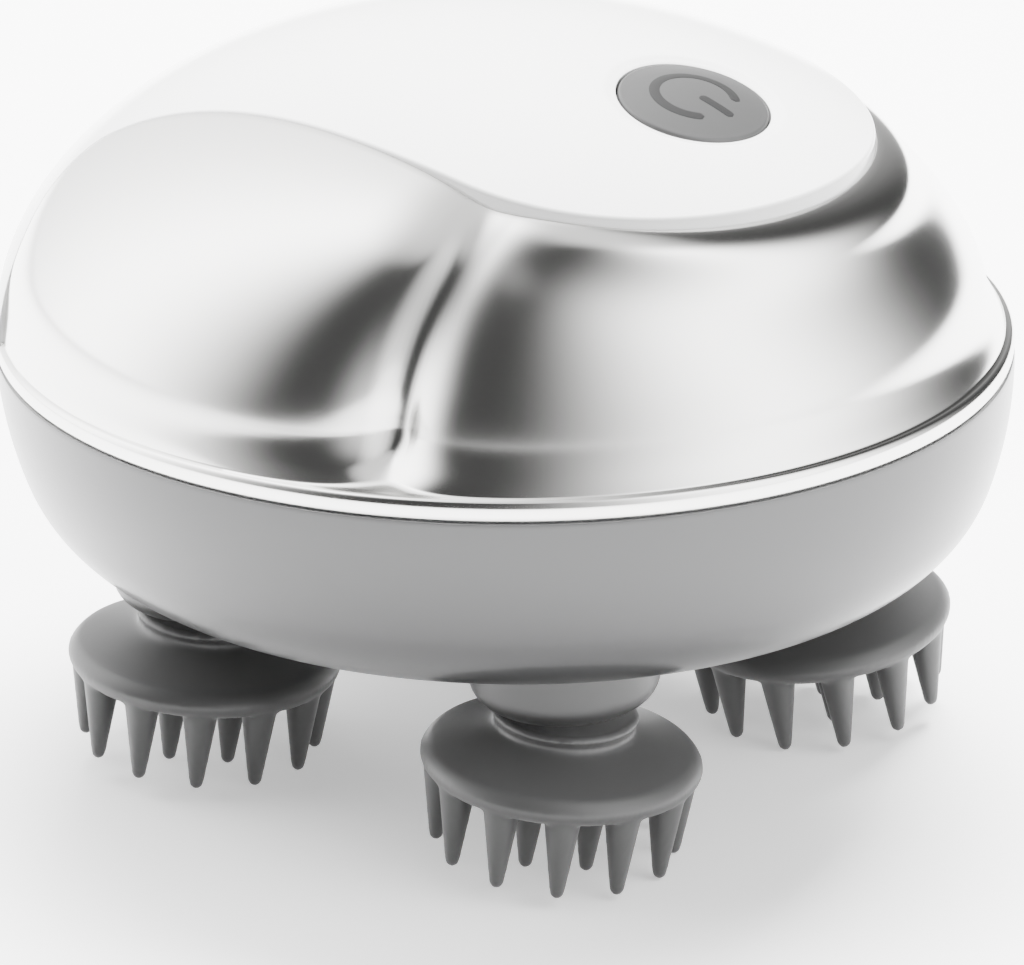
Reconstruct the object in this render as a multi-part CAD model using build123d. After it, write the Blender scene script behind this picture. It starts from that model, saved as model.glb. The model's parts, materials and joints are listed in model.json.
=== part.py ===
"""Electric scalp massager: an oval dome body on four kneading heads driven by one motor.

The origin is on the ground below the middle of the body, +X runs to the button end and +Z up.
Each head sits on the inclined end of an upright drive shaft, so it wobbles as its shaft turns.
"""

from build123d import *

import math
import os

# Body: an oval dome above the rim, a flat-bottomed bowl below it
BODY_LENGTH = 114.0
BODY_WIDTH = 102.6
DOME_HEIGHT = 35.6
BOWL_DEPTH = 25.4
SIDE_RADIUS = 40.0
SIDE_TURN = 20.0
CORNER_RADIUS = 14.0
CORNER_TURN = 50.0
COVER_WALL = 2.0
SHELL_WALL = 2.4
BAND_WALL = 3.2
SEAT_GAP = 0.05  # between fixed mouldings that seat on curved faces

# Deck: the tongue of the top cover between the side lobes of the band
DECK_HALF_LENGTH = 63.0  # of the skin's front half, which lies flatter than the dome
DECK_END_X = 16.8  # centre of the round front end
DECK_END_RADIUS = 26.9
DECK_REAR_X = -40.0
DECK_REAR_HALF_WIDTH = 23.4
DECK_CORNER_RADIUS = 6.0
DECK_LEDGE = 4.0  # band material that carries the deck's edge

# Band: hem, crease between the side lobe and the front skirt, lip under the deck's front
HEM_HEIGHT = 2.4
HEM_STEP = 0.5
HEM_ROUND = 0.6
CREASE_X = 21.0
CREASE_DEPTH = 5.0
CREASE_LOBE_WIDTH = 6.5
CREASE_SKIRT_WIDTH = 3.4
CREASE_EASE = 0.7  # share of the crease's depth that is gone at the deck
CREASE_EASE_LOW = 8.0  # heights between which it eases
CREASE_EASE_HIGH = 24.0
LIP_START_X = 24.0
LIP_GROWTH = 0.13  # how fast the lip stands out of the dome beyond that
LIP_WIDTH = 4.5
SKIRT_HOLLOW = 1.4
BAND_TOP_TURN = 62.0  # angle up the dome at which the band's form ends
BAND_RISES = 9  # steps between its level cuts
BAND_STEPS = 72  # points round each level cut

# Massage heads
HEAD_TILT = 6.0
DISC_RADIUS = 15.0
DISC_TOP = 4.6  # below the head's top, along its axis
DISC_BOTTOM = 7.0
NECK_RADIUS = 7.9
NECK_WAIST = 7.3
PEG_REACH = 16.1  # peg tips below the head's top
PEG_ROOT_RADIUS = 2.15
PEG_TIP_RADIUS = 0.8
OUTER_PEGS = 12
OUTER_PEG_CIRCLE = 12.6
INNER_PEGS = 6
INNER_PEG_CIRCLE = 6.4
CORE_STEM_RADIUS = 5.0
CORE_DISC_RADIUS = 10.5
CORE_DISC_THICKNESS = 1.6
CORE_TOP_COVER = 0.8  # silicone left above the core
CORE_FLOOR_COVER = 1.2  # silicone left under the core

# Where each head stands, and the direction in which it leans at rest
HEAD_X = 24.5
HEADS = {
    "front_left": (1, 1, 255.0),
    "front_right": (1, -1, 38.0),
    "rear_left": (-1, 1, 90.0),
    "rear_right": (-1, -1, 38.0),
}

# Collars, shafts and bushes
PIVOT_DROP = 29.6  # head's top below the rim
COLLAR_GAP = 1.3  # between a head's top and its collar
COLLAR_RADIUS = 10.1
COLLAR_END_RADIUS = 7.8
COLLAR_TAPER = 2.9
SPIGOT_RADIUS = 7.0
SHAFT_RADIUS = 2.5
RUNNING_CLEARANCE = 0.04
PRESS_CLEARANCE = 0.01
BUSH_RADIUS = 5.4
UPPER_BUSH_RADIUS = 4.2
SEAL_THICKNESS = 2.0
COLLAR_LIP = 1.2
BOSS_WALL = 2.0

# Gear train: motor pinion, compound gear, sun gear, four head gears
SUN_TEETH = 48
HEAD_TEETH = 35
HEAD_MODULE = 0.8
WHEEL_TEETH = 64
COMPOUND_PINION_TEETH = 12
WHEEL_MODULE = 0.6
COMPOUND_TEETH = 54
MOTOR_PINION_TEETH = 9
MOTOR_MODULE = 0.5
BACKLASH = 0.16
PRESSURE_ANGLE = 20.0
HEAD_GEAR_FACE = 5.0
WHEEL_FACE = 3.4
COMPOUND_FACE = 2.4
GEAR_GAP = 0.5  # between gears that pass over each other
SUN_AXLE_RADIUS = 2.0
COMPOUND_AXLE_RADIUS = 1.5

# Gearbox plates
FRAME_LEVEL = -18.0  # underside of the base plate, from the rim
PLATE_THICKNESS = 2.2
PLATE_MARGIN = 6.5  # plate beyond the shaft centres
PLATE_CORNER = 8.0
GEAR_SIDE_GAP = 1.6  # between the base plate and the head gears
PILLAR_RADIUS = 3.0
PILLAR_X = 28.5
PILLAR_Y = 26.0
SCREW_RADIUS = 1.0
SCREW_HEAD_RADIUS = 2.0
SCREW_HEAD_HEIGHT = 1.3
SCREW_BITE = 4.0
PILOT_RADIUS = 0.8  # holes that the screws cut their threads in
SCREW_PLAY = 0.2  # round a screw that passes through
SMALL_HEAD_RADIUS = 1.6

# Motor, battery and board
MOTOR_RADIUS = 12.0
MOTOR_FLATS = 18.0
MOTOR_LENGTH = 25.0
MOTOR_BOSS_RADIUS = 3.0
MOTOR_BOSS_HEIGHT = 1.5
MOTOR_SHAFT_RADIUS = 1.0
MOTOR_SCREW_SPREAD = 8.0
BATTERY_RADIUS = 7.0
BATTERY_LENGTH = 50.0
BATTERY_X = 17.0
CRADLE_WIDTH = 3.0
CRADLE_RISE = 4.5
CRADLE_SPREAD = 0.3  # of the cell's length, from its middle
CELL_LIFT = 0.4  # cell above the plate
CELL_CAP_HEIGHT = 1.0
BOARD_LENGTH = 24.0
BOARD_THICKNESS = 1.6
BOARD_POST_RADIUS = 1.8
BOARD_MARGIN = 0.6  # board beyond its posts

# Power button, set square to the dome
BUTTON_X = 26.8
BUTTON_RADIUS = 8.0
BUTTON_GAP = 0.3
BUTTON_SINK = -0.15  # middle of its crown, below the deck's skin
BUTTON_CROWN = 0.9
BUTTON_THICKNESS = 4.3
BUTTON_EDGE_ROUND = 0.4
BUTTON_FLANGE = 1.1
BUTTON_FLANGE_THICKNESS = 1.0
BUTTON_STEM_RADIUS = 1.7
BUTTON_STEM_LENGTH = 0.9
BUTTON_TRAVEL = 0.8
DISH_RADIUS = 9.4
DISH_DEPTH = 0.7
SWITCH_SIZE = 6.2
SWITCH_HEIGHT = 3.6
SWITCH_RISE = 1.0  # plunger above the switch's case
SWITCH_FLOOR = 0.4
PLUNGER_RADIUS = 1.7

# Charging socket at the rear end
SOCKET_RADIUS = 6.0
SOCKET_DEPTH = 1.5
PLUG_RADIUS = 4.9
SOCKET_LEVEL = -9.0  # from the rim
SOCKET_THICKNESS = 4.0
CONTACT_RADIUS = 0.9
CONTACT_SPREAD = 2.2
MAGNET_RADIUS = 1.5
MAGNET_THICKNESS = 1.5
MAGNET_SPREAD = 3.1

# Housing joint
GASKET_WIDTH = 1.0
GASKET_HEIGHT = 1.4
HOUSING_POST_RADIUS = 3.2
HOUSING_SCREW_HEAD_RADIUS = 2.2
HOUSING_SCREW_DEPTH = 4.2  # seat of the screw heads above the shell's floor
POST_END_INSET = 13.0  # screw posts from the housing's outline
POST_SIDE_INSET = 14.3

# Sizes that follow
SHANK_RADIUS = PILOT_RADIUS - PRESS_CLEARANCE
HALF_LENGTH = BODY_LENGTH / 2
HALF_WIDTH = BODY_WIDTH / 2
POST_X = HALF_LENGTH - POST_END_INSET
POST_Y = HALF_WIDTH - POST_SIDE_INSET
TILT = math.radians(HEAD_TILT)
PIVOT_Z = PEG_REACH * math.cos(TILT) + OUTER_PEG_CIRCLE * math.sin(TILT)
PIVOT_Z += PEG_TIP_RADIUS * (1 - math.cos(TILT))
RIM_Z = PIVOT_Z + PIVOT_DROP
FLOOR_Z = RIM_Z - BOWL_DEPTH
COLLAR_Z = PIVOT_Z + COLLAR_GAP
SHAFT_CENTRES = HEAD_MODULE * (SUN_TEETH + HEAD_TEETH) / 2
HEAD_Y = math.sqrt(SHAFT_CENTRES**2 - HEAD_X**2)
BASE_Z = RIM_Z + FRAME_LEVEL
BASE_TOP_Z = BASE_Z + PLATE_THICKNESS
HEAD_GEAR_Z = BASE_TOP_Z + GEAR_SIDE_GAP
WHEEL_Z = HEAD_GEAR_Z + HEAD_GEAR_FACE
COMPOUND_Z = WHEEL_Z + WHEEL_FACE + GEAR_GAP
COVER_Z = COMPOUND_Z + COMPOUND_FACE + GEAR_SIDE_GAP
COVER_TOP_Z = COVER_Z + PLATE_THICKNESS
COMPOUND_X = -WHEEL_MODULE * (WHEEL_TEETH + COMPOUND_PINION_TEETH) / 2
MOTOR_X = COMPOUND_X + MOTOR_MODULE * (COMPOUND_TEETH + MOTOR_PINION_TEETH) / 2
SEAL_Z = COLLAR_Z + COLLAR_LIP
BUSH_Z = SEAL_Z + SEAL_THICKNESS
BUSH_TOP_Z = BASE_Z - SEAT_GAP
PILLARS = [(PILLAR_X, 0), (0, PILLAR_Y), (0, -PILLAR_Y)]
BAND_POSTS = [(POST_X, 0), (0, POST_Y), (0, -POST_Y)]
REAR_POST = (-POST_X, 0)
HOUSING_POSTS = BAND_POSTS + [REAR_POST]


def ring(outer, inner, low, high):
    """Upright tube between two heights."""
    return Pos(0, 0, low) * extrude(Circle(outer) - Circle(inner), high - low)


def rod(radius, low, high):
    """Upright cylinder between two heights."""
    return Pos(0, 0, low) * extrude(Circle(radius), high - low)


def turned(*points):
    """Solid turned about Z from a closed outline of (radius, height) points."""
    outline = Polyline(*points, close=True)
    return revolve(Plane.XZ * make_face(outline), Axis.Z)


def oval_turned(profile, inset, length):
    """Turned body of a half length, narrowed to the oval plan of the housing."""
    narrow = (HALF_WIDTH - inset) / (length - inset)
    return Pos(0, 0, RIM_Z) * scale(revolve(Plane.XZ * profile, Axis.Z), by=(1, narrow, 1))


def dome(inset=0.0, length=HALF_LENGTH):
    """Half ellipsoid on the rim plane."""
    half, height = length - inset, DOME_HEIGHT - inset
    arc = EllipticalCenterArc((0, 0), half, height, 0, arc_size=90)
    outline = [Line((0, 0), (half, 0)), arc, Line((0, height), (0, 0))]
    return oval_turned(make_face(outline), inset, length)


def bowl(inset=0.0):
    """Bowl below the rim plane: steep side, round corner and nearly flat floor, all in arcs."""
    half, depth = HALF_LENGTH - inset, BOWL_DEPTH - inset
    side = JernArc((half, 0), (0, -1), SIDE_RADIUS - inset, -SIDE_TURN)
    corner = JernArc(side @ 1, side % 1, CORNER_RADIUS - inset, -CORNER_TURN)
    left = 90 - SIDE_TURN - CORNER_TURN
    sag = depth + (corner @ 1).Y
    floor = JernArc(corner @ 1, corner % 1, sag / (1 - math.cos(math.radians(left))), -left)
    edge = (floor @ 1).X
    outline = [Line((0, 0), (half, 0)), side, corner, floor, Line((edge, -depth), (0, -depth))]
    return oval_turned(make_face(outline + [Line((0, -depth), (0, 0))]), inset, HALF_LENGTH)


def smooth(value, low, high):
    """Smooth step from 0 at low to 1 at high."""
    share = min(max((value - low) / (high - low), 0.0), 1.0)
    return share * share * (3 - 2 * share)


def band_recess(x, y, height):
    """How far the band's skin lies inside the dome, in plan."""
    across = x - CREASE_X
    width = CREASE_SKIRT_WIDTH if across > 0 else CREASE_LOBE_WIDTH
    fade = smooth(height, 0, HEM_HEIGHT * 3)
    ease = 1 - CREASE_EASE * smooth(height, CREASE_EASE_LOW, CREASE_EASE_HIGH)
    crease = CREASE_DEPTH * fade * ease / (1 + (across / width) ** 2)
    front = smooth(x, CREASE_X - CREASE_SKIRT_WIDTH, CREASE_X + CREASE_SKIRT_WIDTH)
    outside = math.hypot(max(x - DECK_END_X, 0), y) - DECK_END_RADIUS
    near = math.exp(-((outside / LIP_WIDTH) ** 2))
    lip = LIP_GROWTH * max(x - LIP_START_X, 0)
    skirt = front * (SKIRT_HOLLOW * fade * (1 - near) - lip * near)
    step = HEM_STEP * (1 - smooth(height, HEM_HEIGHT * 1.5, HEM_HEIGHT * 5))
    return crease + skirt + step


def band_section(turn, inset):
    """Level cut through the band's form, at an angle above the rim."""
    half, side = HALF_LENGTH - inset, HALF_WIDTH - inset
    level, height = math.cos(turn), math.sin(turn)
    points = []
    for step in range(BAND_STEPS):
        angle = math.tau * step / BAND_STEPS
        across, along = math.cos(angle), math.sin(angle)
        skin = level / math.hypot(across / HALF_LENGTH, along / HALF_WIDTH)
        recess = band_recess(skin * across, skin * along, DOME_HEIGHT * height)
        if inset:
            recess = max(recess, 0)
        reach = level / math.hypot(across / half, along / side) - recess
        points.append((reach * across, reach * along))
    outline = Edge.make_spline(points, periodic=True, parameters=range(BAND_STEPS + 1))
    return Pos(0, 0, RIM_Z + (DOME_HEIGHT - inset) * height) * Face(Wire([outline]))


def band_form(inset=0.0):
    """Lobes, creases and front skirt as one closed form."""
    turns = [math.radians(BAND_TOP_TURN) * step / BAND_RISES for step in range(BAND_RISES + 1)]
    return loft([band_section(turn, inset) for turn in turns])


def hem():
    """Rounded bead along the band's lower edge."""
    outer, inner = HALF_LENGTH, HALF_LENGTH - BAND_WALL
    corners = [(inner, 0), (outer, 0), (outer, HEM_HEIGHT), (inner, HEM_HEIGHT)]
    section = make_face(Polyline(*corners, close=True))
    edges = section.vertices().group_by(Axis.X)[-1]
    return oval_turned(fillet(edges, HEM_ROUND), 0, HALF_LENGTH)


def deck_plan(inset=0.0):
    """Plan of the white deck: round front end, narrowing sides, flared rear."""
    reach = HALF_LENGTH * 1.2
    corner = DECK_CORNER_RADIUS + inset
    rear, side = DECK_REAR_X - inset, DECK_REAR_HALF_WIDTH - inset
    front = DECK_END_RADIUS - inset
    nose = CenterArc((DECK_END_X, 0), front, -90, 180)
    curves = [nose]
    for sign in (1, -1):
        start = (DECK_END_X, sign * front)
        bend = (rear + corner, sign * side)
        end = (rear, sign * (side + corner))
        flank = Spline(start, bend, tangents=[(-1, 0), (-1, 0)])
        turn = RadiusArc(bend, end, sign * corner)
        out = (rear, sign * reach)
        curves += [flank, turn, Line(end, out), Line(out, (-reach, sign * reach))]
    curves.append(Line((-reach, reach), (-reach, -reach)))
    return make_face(curves)


def deck_column(inset=0.0):
    """Upright prism over the deck plan."""
    return Pos(0, 0, RIM_Z) * extrude(deck_plan(inset), DOME_HEIGHT + 5)


def button_frame():
    """Frame on the deck's skin under the button, Z along its press axis."""
    height = DOME_HEIGHT * math.sqrt(1 - (BUTTON_X / DECK_HALF_LENGTH) ** 2)
    normal = (BUTTON_X / DECK_HALF_LENGTH**2, 0, height / DOME_HEIGHT**2)
    side = (normal[2], 0, -normal[0])
    return Location(Plane((BUTTON_X, 0, RIM_Z + height), x_dir=side, z_dir=normal))


BUTTON_STACK = BUTTON_SINK + BUTTON_THICKNESS + BUTTON_FLANGE_THICKNESS + BUTTON_STEM_LENGTH
SWITCH_TOP = -(BUTTON_STACK + SWITCH_RISE)
BOARD_TOP = SWITCH_TOP - SWITCH_HEIGHT
BOARD_POST_Y = BUTTON_RADIUS + BUTTON_FLANGE + BUTTON_GAP + BOARD_POST_RADIUS
BOARD_WIDTH = 2 * (BOARD_POST_Y + BOARD_POST_RADIUS + BOARD_MARGIN)


def board_spots():
    """Frames of the posts that carry the circuit board."""
    return [button_frame() * Pos(0, sign * BOARD_POST_Y, 0) for sign in (1, -1)]


def deck_form():
    """Dome whose front half is drawn out, so that it lies flatter toward the button end."""
    half = extrude(Rectangle(2 * DECK_HALF_LENGTH, 2 * BODY_WIDTH), 2 * DOME_HEIGHT)
    half = Pos(DECK_HALF_LENGTH, 0, RIM_Z - 1) * half
    return (dome() - half) + (dome(0, DECK_HALF_LENGTH) & half)


def top_cover():
    """White cover: deck, rear skirt, dished button hole, board posts and a screw post."""
    cover = (deck_form() - dome(COVER_WALL)) & deck_column(SEAT_GAP)
    frame = button_frame()
    hole = BUTTON_RADIUS + BUTTON_GAP
    inside = dome(COVER_WALL / 2)
    for spot in board_spots():
        post = spot * rod(BOARD_POST_RADIUS, BOARD_TOP, 0)
        bore = spot * rod(PILOT_RADIUS, BOARD_TOP - 1, BOARD_TOP + SCREW_BITE)
        cover += (post & inside) - bore
    post = Pos(*REAR_POST, RIM_Z) * rod(HOUSING_POST_RADIUS, 0, DOME_HEIGHT)
    bore = Pos(*REAR_POST, RIM_Z) * rod(PILOT_RADIUS, 0, SCREW_BITE + 2)
    cover += (post & inside) - bore
    dish = frame * turned((0, -DISH_DEPTH), (hole, -DISH_DEPTH), (DISH_RADIUS, 1), (0, 1))
    cover -= frame * rod(hole, -BUTTON_THICKNESS - 2, 2) + dish
    return cover


def chrome_band():
    """Waist band: convex side lobes, creases, coved front skirt and the deck's ledge."""
    seat = deck_column() - dome(COVER_WALL + SEAT_GAP)
    band = band_form() - band_form(BAND_WALL) + hem() - [seat, deck_column(DECK_LEDGE)]
    inside = band_form(BAND_WALL / 2) - seat
    for place in BAND_POSTS:
        post = Pos(*place, RIM_Z) * rod(HOUSING_POST_RADIUS, 0, DOME_HEIGHT * 0.7)
        bore = Pos(*place, RIM_Z) * rod(PILOT_RADIUS, 0, SCREW_BITE + 2)
        band += (post & inside) - bore
    return band


def shell_collar_spots():
    """Upright axes of the four heads."""
    return [Pos(sx * HEAD_X, sy * HEAD_Y, 0) for sx, sy, _ in HEADS.values()]


def lower_shell():
    """Bowl with collar bosses, frame posts, screw posts, gasket rebate and socket boss."""
    posts = [spot * rod(SPIGOT_RADIUS + BOSS_WALL, FLOOR_Z, BASE_Z) for spot in shell_collar_spots()]
    posts += [Pos(*place, 0) * rod(PILLAR_RADIUS, FLOOR_Z, BASE_Z) for place in PILLARS]
    posts += [Pos(*place, 0) * rod(HOUSING_POST_RADIUS, FLOOR_Z, RIM_Z) for place in HOUSING_POSTS]
    posts.append(socket_frame() * rod(SOCKET_RADIUS + BOSS_WALL, -SOCKET_THICKNESS, 0))
    cuts = [spot * rod(SPIGOT_RADIUS, FLOOR_Z - 1, BASE_Z + 1) for spot in shell_collar_spots()]
    cuts += [Pos(*place, 0) * rod(PILOT_RADIUS, BASE_Z - SCREW_BITE, BASE_Z + 1) for place in PILLARS]
    well = rod(SCREW_RADIUS + SCREW_PLAY, FLOOR_Z - 1, RIM_Z + 1)
    well += rod(HOUSING_SCREW_HEAD_RADIUS + SCREW_PLAY, FLOOR_Z - 1, housing_seat())
    cuts += [Pos(*place, 0) * well for place in HOUSING_POSTS]
    rebate = oval_ring(SHELL_WALL - GASKET_WIDTH, SHELL_WALL + GASKET_WIDTH)
    cuts.append(Pos(0, 0, RIM_Z - GASKET_HEIGHT) * extrude(rebate, GASKET_HEIGHT + 1))
    cuts.append(socket_frame() * rod(SOCKET_RADIUS, -SOCKET_DEPTH, 8))
    cuts.append(socket_frame() * rod(PLUG_RADIUS, -SOCKET_THICKNESS - 1, 0))
    hollow = bowl(SHELL_WALL) - posts
    return bowl() - hollow - cuts


def housing_seat():
    """Height at which the housing screw heads seat."""
    return FLOOR_Z + SHELL_WALL + HOUSING_SCREW_DEPTH


def oval_ring(outer, inner):
    """Level ring between two insets from the housing's outline."""
    full = Ellipse(HALF_LENGTH - outer, HALF_WIDTH - outer)
    return full - Ellipse(HALF_LENGTH - inner, HALF_WIDTH - inner)


def rim_gasket():
    """Rubber ring in the rebate of the rim."""
    plan = oval_ring(SHELL_WALL - GASKET_WIDTH + SEAT_GAP, SHELL_WALL)
    return Pos(0, 0, RIM_Z - GASKET_HEIGHT) * extrude(plan, GASKET_HEIGHT)


def socket_frame():
    """Frame on the rear skin of the bowl, Z pointing out to the rear."""
    sink = SIDE_RADIUS - math.sqrt(SIDE_RADIUS**2 - SOCKET_LEVEL**2)
    skin = Plane((sink - HALF_LENGTH, 0, RIM_Z + SOCKET_LEVEL), x_dir=(0, -1, 0), z_dir=(-1, 0, 0))
    return Location(skin)


def charge_socket():
    """Plug in the floor of the charging recess, with its pin holes and magnet pockets."""
    plug = rod(PLUG_RADIUS - PRESS_CLEARANCE, -SOCKET_THICKNESS, -SOCKET_DEPTH)
    for sign in (1, -1):
        plug -= Pos(sign * CONTACT_SPREAD, 0, 0) * rod(CONTACT_RADIUS, -SOCKET_THICKNESS, 0)
        pocket = rod(MAGNET_RADIUS, -SOCKET_THICKNESS, -SOCKET_THICKNESS + MAGNET_THICKNESS)
        plug -= Pos(0, sign * MAGNET_SPREAD, 0) * pocket
    return socket_frame() * plug


def charge_contacts():
    """Two pins, flush with the recess floor."""
    pin = rod(CONTACT_RADIUS - PRESS_CLEARANCE, -SOCKET_THICKNESS - 1.5, -SOCKET_DEPTH)
    return [socket_frame() * Pos(sign * CONTACT_SPREAD, 0, 0) * pin for sign in (1, -1)]


def charge_magnets():
    """Two magnets that hold the charging plug."""
    low, high = -SOCKET_THICKNESS, -SOCKET_THICKNESS + MAGNET_THICKNESS
    magnet = rod(MAGNET_RADIUS - PRESS_CLEARANCE, low, high)
    return [socket_frame() * Pos(0, sign * MAGNET_SPREAD, 0) * magnet for sign in (1, -1)]


def screw(length, radius=SCREW_RADIUS, head=SCREW_HEAD_RADIUS):
    """Pan-head screw, head above Z 0 and shank below."""
    body = turned(
        (0, -length),
        (radius * 0.6, -length),
        (radius, -length + radius),
        (radius, 0),
        (head, 0),
        (head, SCREW_HEAD_HEIGHT * 0.6),
        (head * 0.6, SCREW_HEAD_HEIGHT),
        (0, SCREW_HEAD_HEIGHT),
    )
    slot = Pos(0, 0, SCREW_HEAD_HEIGHT) * Box(head * 0.35, head * 1.2, SCREW_HEAD_HEIGHT * 0.8)
    return body - slot - Rot(0, 0, 90) * slot


def housing_screws():
    """Four screws from below that close the housing."""
    length = RIM_Z - housing_seat() + SCREW_BITE
    part = screw(length, SHANK_RADIUS, HOUSING_SCREW_HEAD_RADIUS)
    return [Pos(*place, housing_seat()) * Rot(180, 0, 0) * part for place in HOUSING_POSTS]


def gearbox_screws():
    """Three long screws through cover plate and pillars into the shell."""
    length = COVER_TOP_Z - BASE_Z + SCREW_BITE - 0.5
    part = screw(length, SHANK_RADIUS)
    return [Pos(*place, COVER_TOP_Z) * part for place in PILLARS]


def plate_plan():
    """Rounded plate that reaches a little past the four shafts."""
    return RectangleRounded(2 * (HEAD_X + PLATE_MARGIN), 2 * (HEAD_Y + PLATE_MARGIN), PLATE_CORNER)


def gearbox_base():
    """Lower bearing plate with three pillars and the seats of both axles."""
    plate = Pos(0, 0, BASE_Z) * extrude(plate_plan(), PLATE_THICKNESS)
    for place in PILLARS:
        plate += Pos(*place, 0) * rod(PILLAR_RADIUS, BASE_Z, COVER_Z)
        plate -= Pos(*place, 0) * rod(SCREW_RADIUS, BASE_Z - 1, COVER_Z + 1)
    for spot in shell_collar_spots():
        plate -= spot * rod(SHAFT_RADIUS + 0.6, BASE_Z - 1, BASE_TOP_Z + 1)
    for radius, x in ((SUN_AXLE_RADIUS, 0), (COMPOUND_AXLE_RADIUS, COMPOUND_X)):
        plate += Pos(x, 0, 0) * rod(radius + BOSS_WALL, BASE_TOP_Z, HEAD_GEAR_Z - 0.4)
        plate -= Pos(x, 0, 0) * rod(radius + PRESS_CLEARANCE, BASE_Z, HEAD_GEAR_Z)
    return plate


def gearbox_cover():
    """Upper bearing plate: bush seats, axle seats, motor seat and battery cradles."""
    plate = Pos(0, 0, COVER_Z) * extrude(plate_plan(), PLATE_THICKNESS)
    for place in PILLARS:
        plate -= Pos(*place, 0) * rod(SCREW_RADIUS, COVER_Z - 1, COVER_TOP_Z + 1)
    for spot in shell_collar_spots():
        plate -= spot * rod(UPPER_BUSH_RADIUS + PRESS_CLEARANCE, COVER_Z - 1, COVER_TOP_Z + 1)
    for radius, x in ((SUN_AXLE_RADIUS, 0), (COMPOUND_AXLE_RADIUS, COMPOUND_X)):
        plate -= Pos(x, 0, 0) * rod(radius + PRESS_CLEARANCE, COVER_Z - 1, COVER_TOP_Z - 0.5)
    seat = rod(MOTOR_BOSS_RADIUS + PRESS_CLEARANCE, COVER_Z - 1, COVER_TOP_Z + 1)
    hole = rod(SCREW_RADIUS, COVER_Z - 1, COVER_TOP_Z + 1)
    rib = extrude(Rectangle(2 * BATTERY_RADIUS, CRADLE_WIDTH), CRADLE_RISE)
    plate -= Pos(MOTOR_X, 0, 0) * seat
    for sign in (1, -1):
        plate -= Pos(MOTOR_X, sign * MOTOR_SCREW_SPREAD, 0) * hole
        cradle = Pos(BATTERY_X, sign * BATTERY_LENGTH * CRADLE_SPREAD, COVER_TOP_Z) * rib
        plate += cradle - battery(SEAT_GAP)
    return plate


def battery(clearance=0.0):
    """Round cell lying across the gearbox cover, with its positive cap."""
    radius = BATTERY_RADIUS + clearance
    half = BATTERY_LENGTH / 2
    cell = rod(radius, -half - clearance, half + clearance)
    cell += rod(radius * 0.4, half, half + CELL_CAP_HEIGHT)
    return Pos(BATTERY_X, 0, COVER_TOP_Z + BATTERY_RADIUS + CELL_LIFT) * Rot(90, 0, 0) * cell


def motor():
    """Flat-sided motor can standing on the gearbox cover."""
    can = Circle(MOTOR_RADIUS) & Rectangle(3 * MOTOR_RADIUS, MOTOR_FLATS)
    body = extrude(can, MOTOR_LENGTH)
    body = fillet(body.faces().sort_by(Axis.Z)[-1].edges(), 1.2)
    body += rod(MOTOR_BOSS_RADIUS, -MOTOR_BOSS_HEIGHT, 0)
    body += rod(MOTOR_BOSS_RADIUS * 0.9, MOTOR_LENGTH, MOTOR_LENGTH + 0.8)
    body -= rod(MOTOR_SHAFT_RADIUS + RUNNING_CLEARANCE, -MOTOR_BOSS_HEIGHT - 1, MOTOR_LENGTH - 1)
    for sign in (1, -1):
        body -= Pos(0, sign * MOTOR_SCREW_SPREAD, 0) * rod(PILOT_RADIUS, 0, SCREW_BITE)
        tab = Pos(0, sign * MOTOR_RADIUS * 0.5, MOTOR_LENGTH) * Box(2.4, 0.6, 3)
        body += tab
    return Pos(MOTOR_X, 0, COVER_TOP_Z) * body


def motor_shaft():
    """Rotor shaft, down through the gearbox cover."""
    return Pos(MOTOR_X, 0, 0) * rod(MOTOR_SHAFT_RADIUS, COMPOUND_Z, COVER_TOP_Z + MOTOR_LENGTH - 1.5)


def motor_screws():
    """Two screws from below the cover plate into the motor."""
    part = screw(PLATE_THICKNESS + SCREW_BITE - 1, SHANK_RADIUS, SMALL_HEAD_RADIUS)
    place = Pos(MOTOR_X, 0, COVER_Z) * Rot(180, 0, 0)
    return [place * Pos(0, sign * MOTOR_SCREW_SPREAD, 0) * part for sign in (1, -1)]


def tooth_points(teeth, module, steps):
    """One tooth of an involute spur gear, from root to root, centred on the X axis."""
    pitch = module * teeth / 2
    base = pitch * math.cos(math.radians(PRESSURE_ANGLE))
    root, tip = pitch - 1.2 * module, pitch + 0.92 * module

    def roll(radius):
        lean = math.acos(min(base / radius, 1.0))
        return math.tan(lean) - lean

    half = (math.pi * module - BACKLASH) / (4 * pitch) + roll(pitch)
    start = max(base, root)
    flank = [start + (tip - start) * step / steps for step in range(steps + 1)]
    right = [(radius, -(half - roll(radius))) for radius in flank]
    if root < base:
        right.insert(0, (root, -half))
    left = [(radius, -angle) for radius, angle in reversed(right)]
    return right + left


def gear(teeth, module, low, high, phase=0.0, steps=2):
    """Spur gear blank between two heights, one tooth centred on the phase angle."""
    points = []
    for index in range(teeth):
        centre = math.radians(phase) + index * math.tau / teeth
        for radius, angle in tooth_points(teeth, module, steps):
            points.append((radius * math.cos(centre + angle), radius * math.sin(centre + angle)))
    outline = Polyline(*points, close=True)
    return Pos(0, 0, low) * extrude(make_face(outline), high - low)


def mesh_phase(teeth, phase, other_teeth, direction):
    """Phase of a gear that meshes with another one lying in a direction from it."""
    share = teeth * (direction - phase) / 360
    return direction + 180 - (0.5 - share) * 360 / other_teeth


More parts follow.
